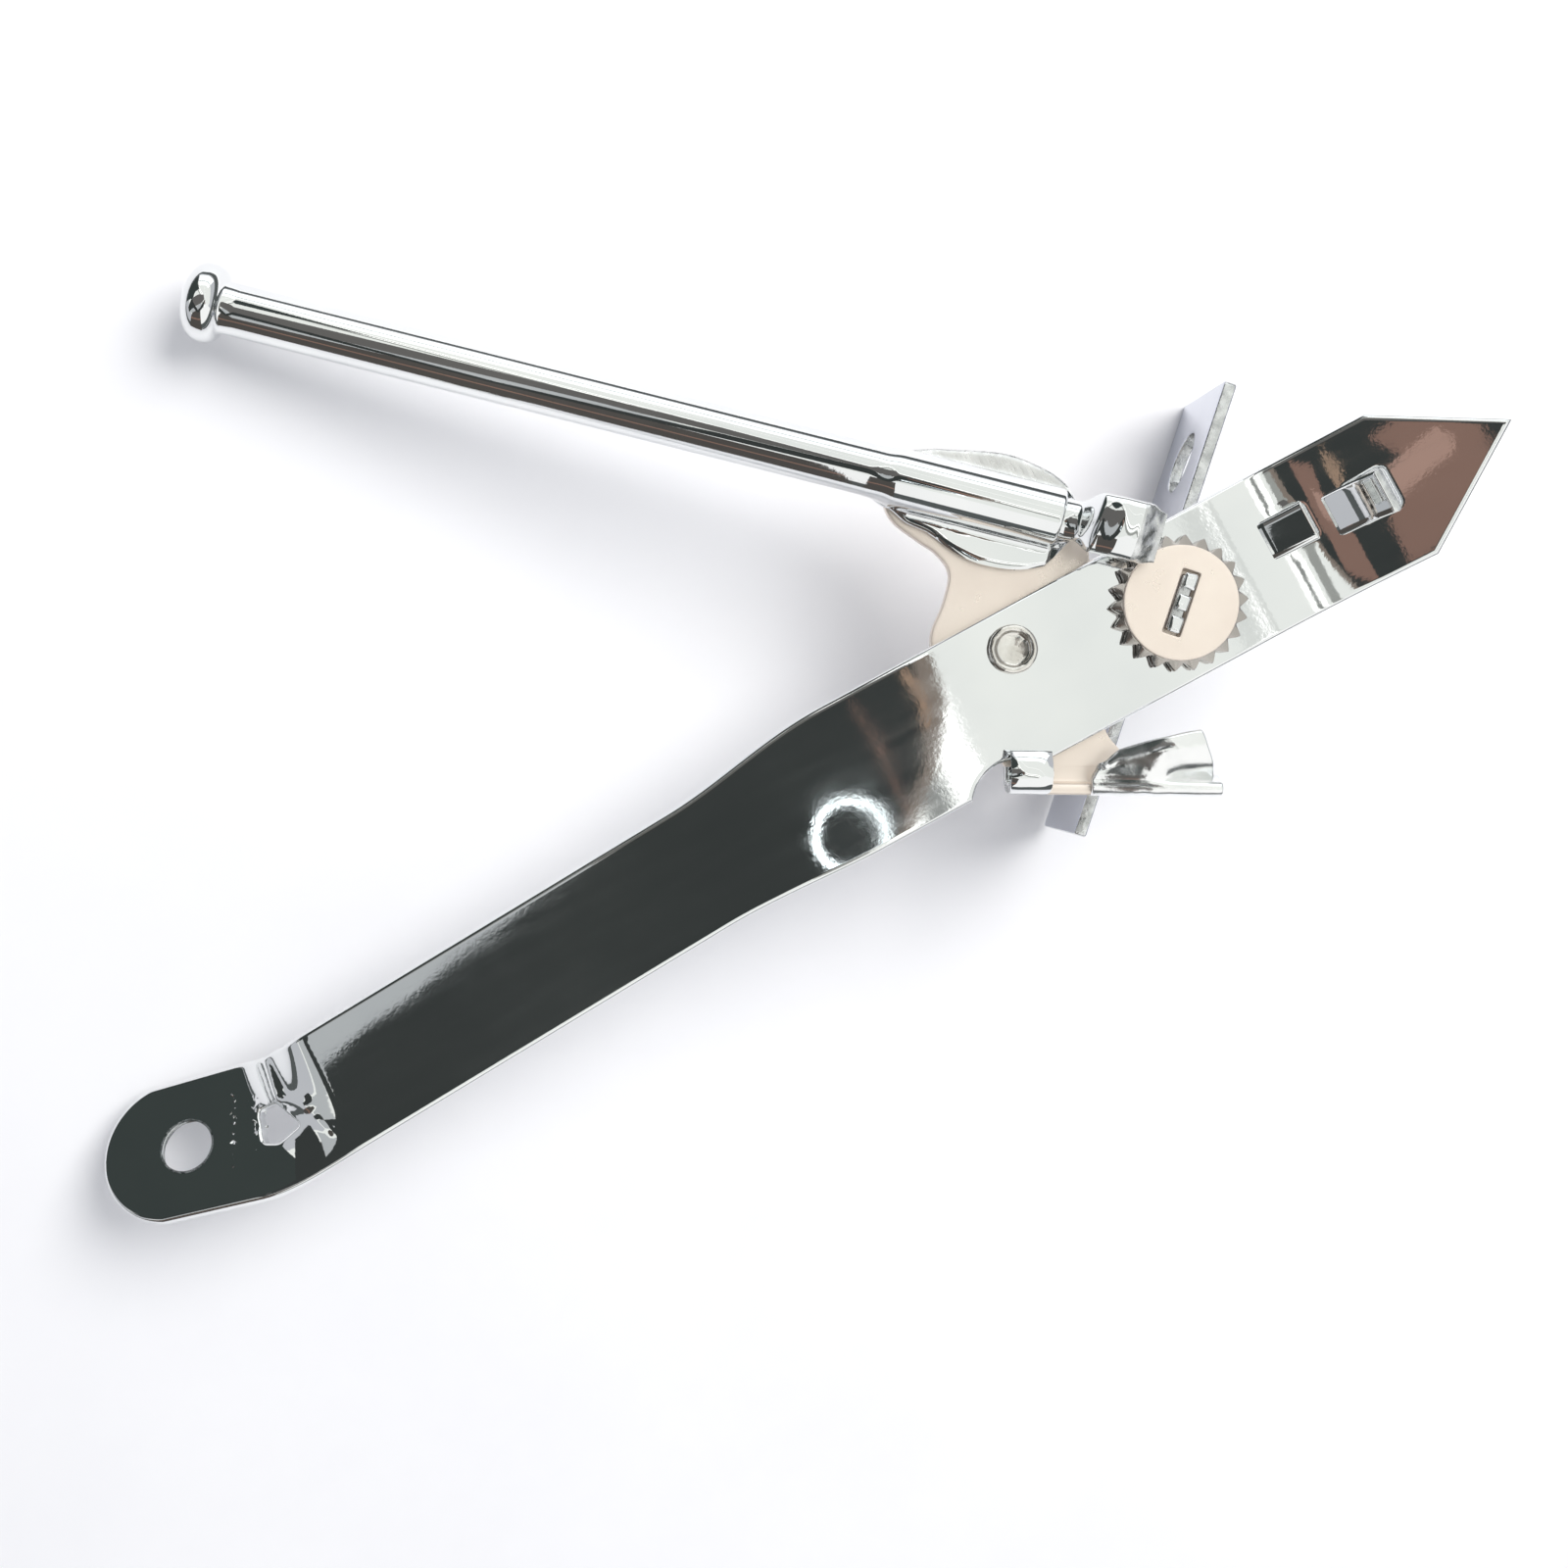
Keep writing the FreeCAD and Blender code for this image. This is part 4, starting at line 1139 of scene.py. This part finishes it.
def make_reflections():
    """The bright ceiling, the dark camera and hands above the handle, and the room around."""
    card("ceiling", [(-900, -900), (900, -900), (900, 900), (-900, 900)], 700, (0.93, 0.95, 0.915))
    for name, x0, x1, color, strength in (
            ("ceiling_lamp_far", 239, 246, (1.0, 1.0, 0.98), 1.5),
            ("ceiling_seam_far", 226, 236, (0.78, 0.80, 0.77), 1.0),
            ("ceiling_lamp_near", 66, 84, (1.0, 1.0, 0.98), 1.6),
            ("ceiling_seam", 50, 62, (0.30, 0.31, 0.30), 1.0),
            ("ceiling_lamp_mid", 28, 46, (1.0, 1.0, 0.97), 1.6),
            ("ceiling_beam", -20, 14, (0.36, 0.37, 0.35), 1.0)):
        card(name, [(x0, -900), (x1, -900), (x1, 900), (x0, 900)], 690, color, strength)
    body = [(18, 4), (14, -14), (8, -26), (-12, -43), (-40, -62), (-168, -62), (-180, -40), (-154, -20),
            (-80, -7), (-55, 4)]
    card("camera_body", body, EYE.z, CAMERA_BLACK)
    card("camera_side", [(-163, -62), (-163, 30), (-205, 30), (-205, -62)], EYE.z, CAMERA_BLACK)
    card("camera_arm", [(-163, 25), (-163, 160), (-420, 160), (-420, 45), (-230, 25)], EYE.z, CAMERA_BLACK)
    crescent = [(2.0, 1.0), (0.6, 0.2), (1.8, -4.5), (1.0, -9.0), (0.2, -11.0), (1.2, -11.2), (2.6, -8.5),
                (3.4, -4)]
    card("finger_edge", crescent, 120, (0.36, 0.25, 0.18))
    hand = [(-4, 168), (-12, 186), (-20, 158), (-31, 158), (-31, 222), (-2, 222)]
    leaning("hand", hand, 0.0, (0.25, 0.155, 0.125))
    leaning("finger", [(-12, 160), (-10, 196), (-14, 202), (-17, 198), (-18, 160)], 0.8, (0.42, 0.27, 0.22))
    shade = [(-330, -25), (-75, -25), (-75, 25), (-330, 25)]
    card("ceiling_shade", shade, 228, (0.50, 0.52, 0.53))
    fringe = [(23, 5), (20, -15), (10, -29), (-11, -46), (-40, -64), (-60, -30), (-60, 4)]
    card("hand_behind", fringe, 224, (0.24, 0.20, 0.17))
    card("sleeve", [(-320, 20), (-120, 8), (-50, -4), (28, -2), (22, 90), (-60, 140), (-320, 160)], 300,
         (0.14, 0.135, 0.13))
    screen("window", (20, 78), (17, 50), 800, (0.97, 1.0, 1.0), 1.5)
    screen("cupboard", (82, 145), (14, 61), 800, (0.045, 0.055, 0.053))
    screen("window_bar", (20, 78), (36, 38), 790, (0.25, 0.30, 0.31))
    screen("room_low", (0, 360), (-14, 13), 810, (0.10, 0.11, 0.11))
    beside_bar("person", 300, -26, 460, (0.085, 0.078, 0.072))
    beside_bar("sleeve_edge", 296, 158, 194, (0.24, 0.15, 0.12))
    screen("pale_wall", (205, 305), (14, 60), 700, (1.0, 1.0, 0.99), 1.05)
    make_ring_lamp()


def make_camera():
    """Straight above the frame plate, with the punching tip up to the right."""
    data = bpy.data.cameras.new("camera")
    data.sensor_width = 36.0
    data.lens = data.sensor_width * EYE.z / FIELD
    right = Vector((VIEW_UP.y, -VIEW_UP.x, 0))
    off = VIEW_MIDDLE - Vector((EYE.x, EYE.y, 0))
    data.shift_x = off.dot(right) / FIELD
    data.shift_y = off.dot(VIEW_UP) / FIELD
    data.clip_start = 0.01
    camera = link("camera", data)
    turn = Matrix((right, VIEW_UP, Vector((0, 0, 1)))).transposed()
    camera.matrix_world = Matrix.Translation(tool(*EYE)) @ (TURN.to_matrix() @ turn).to_4x4()
    bpy.context.scene.camera = camera


def main():
    make_frame_plate()
    make_pivot_rivet()
    washer_low = LEVER_FRONT - LEVER_T - 0.65
    make_washer("pivot_washer_plain", "pivot_washer", "frame", (0, 0), RIVET_BORE_R, RIVET_WASHER_R,
                washer_low, washer_low + RIVET_WASHER_T)
    make_washer("key_washer_plain", "key_washer", "key", WHEEL, 3.6, KEY_WASHER_R, KEY_SHOULDER + 0.05, -1.9)
    make_feed_wheel()
    make_turning_key()
    make_lever_plate()
    make_handle_bar()
    make_floor()
    make_lights()
    make_reflections()
    make_camera()
    bpy.context.scene.view_settings.view_transform = "Standard"


main()
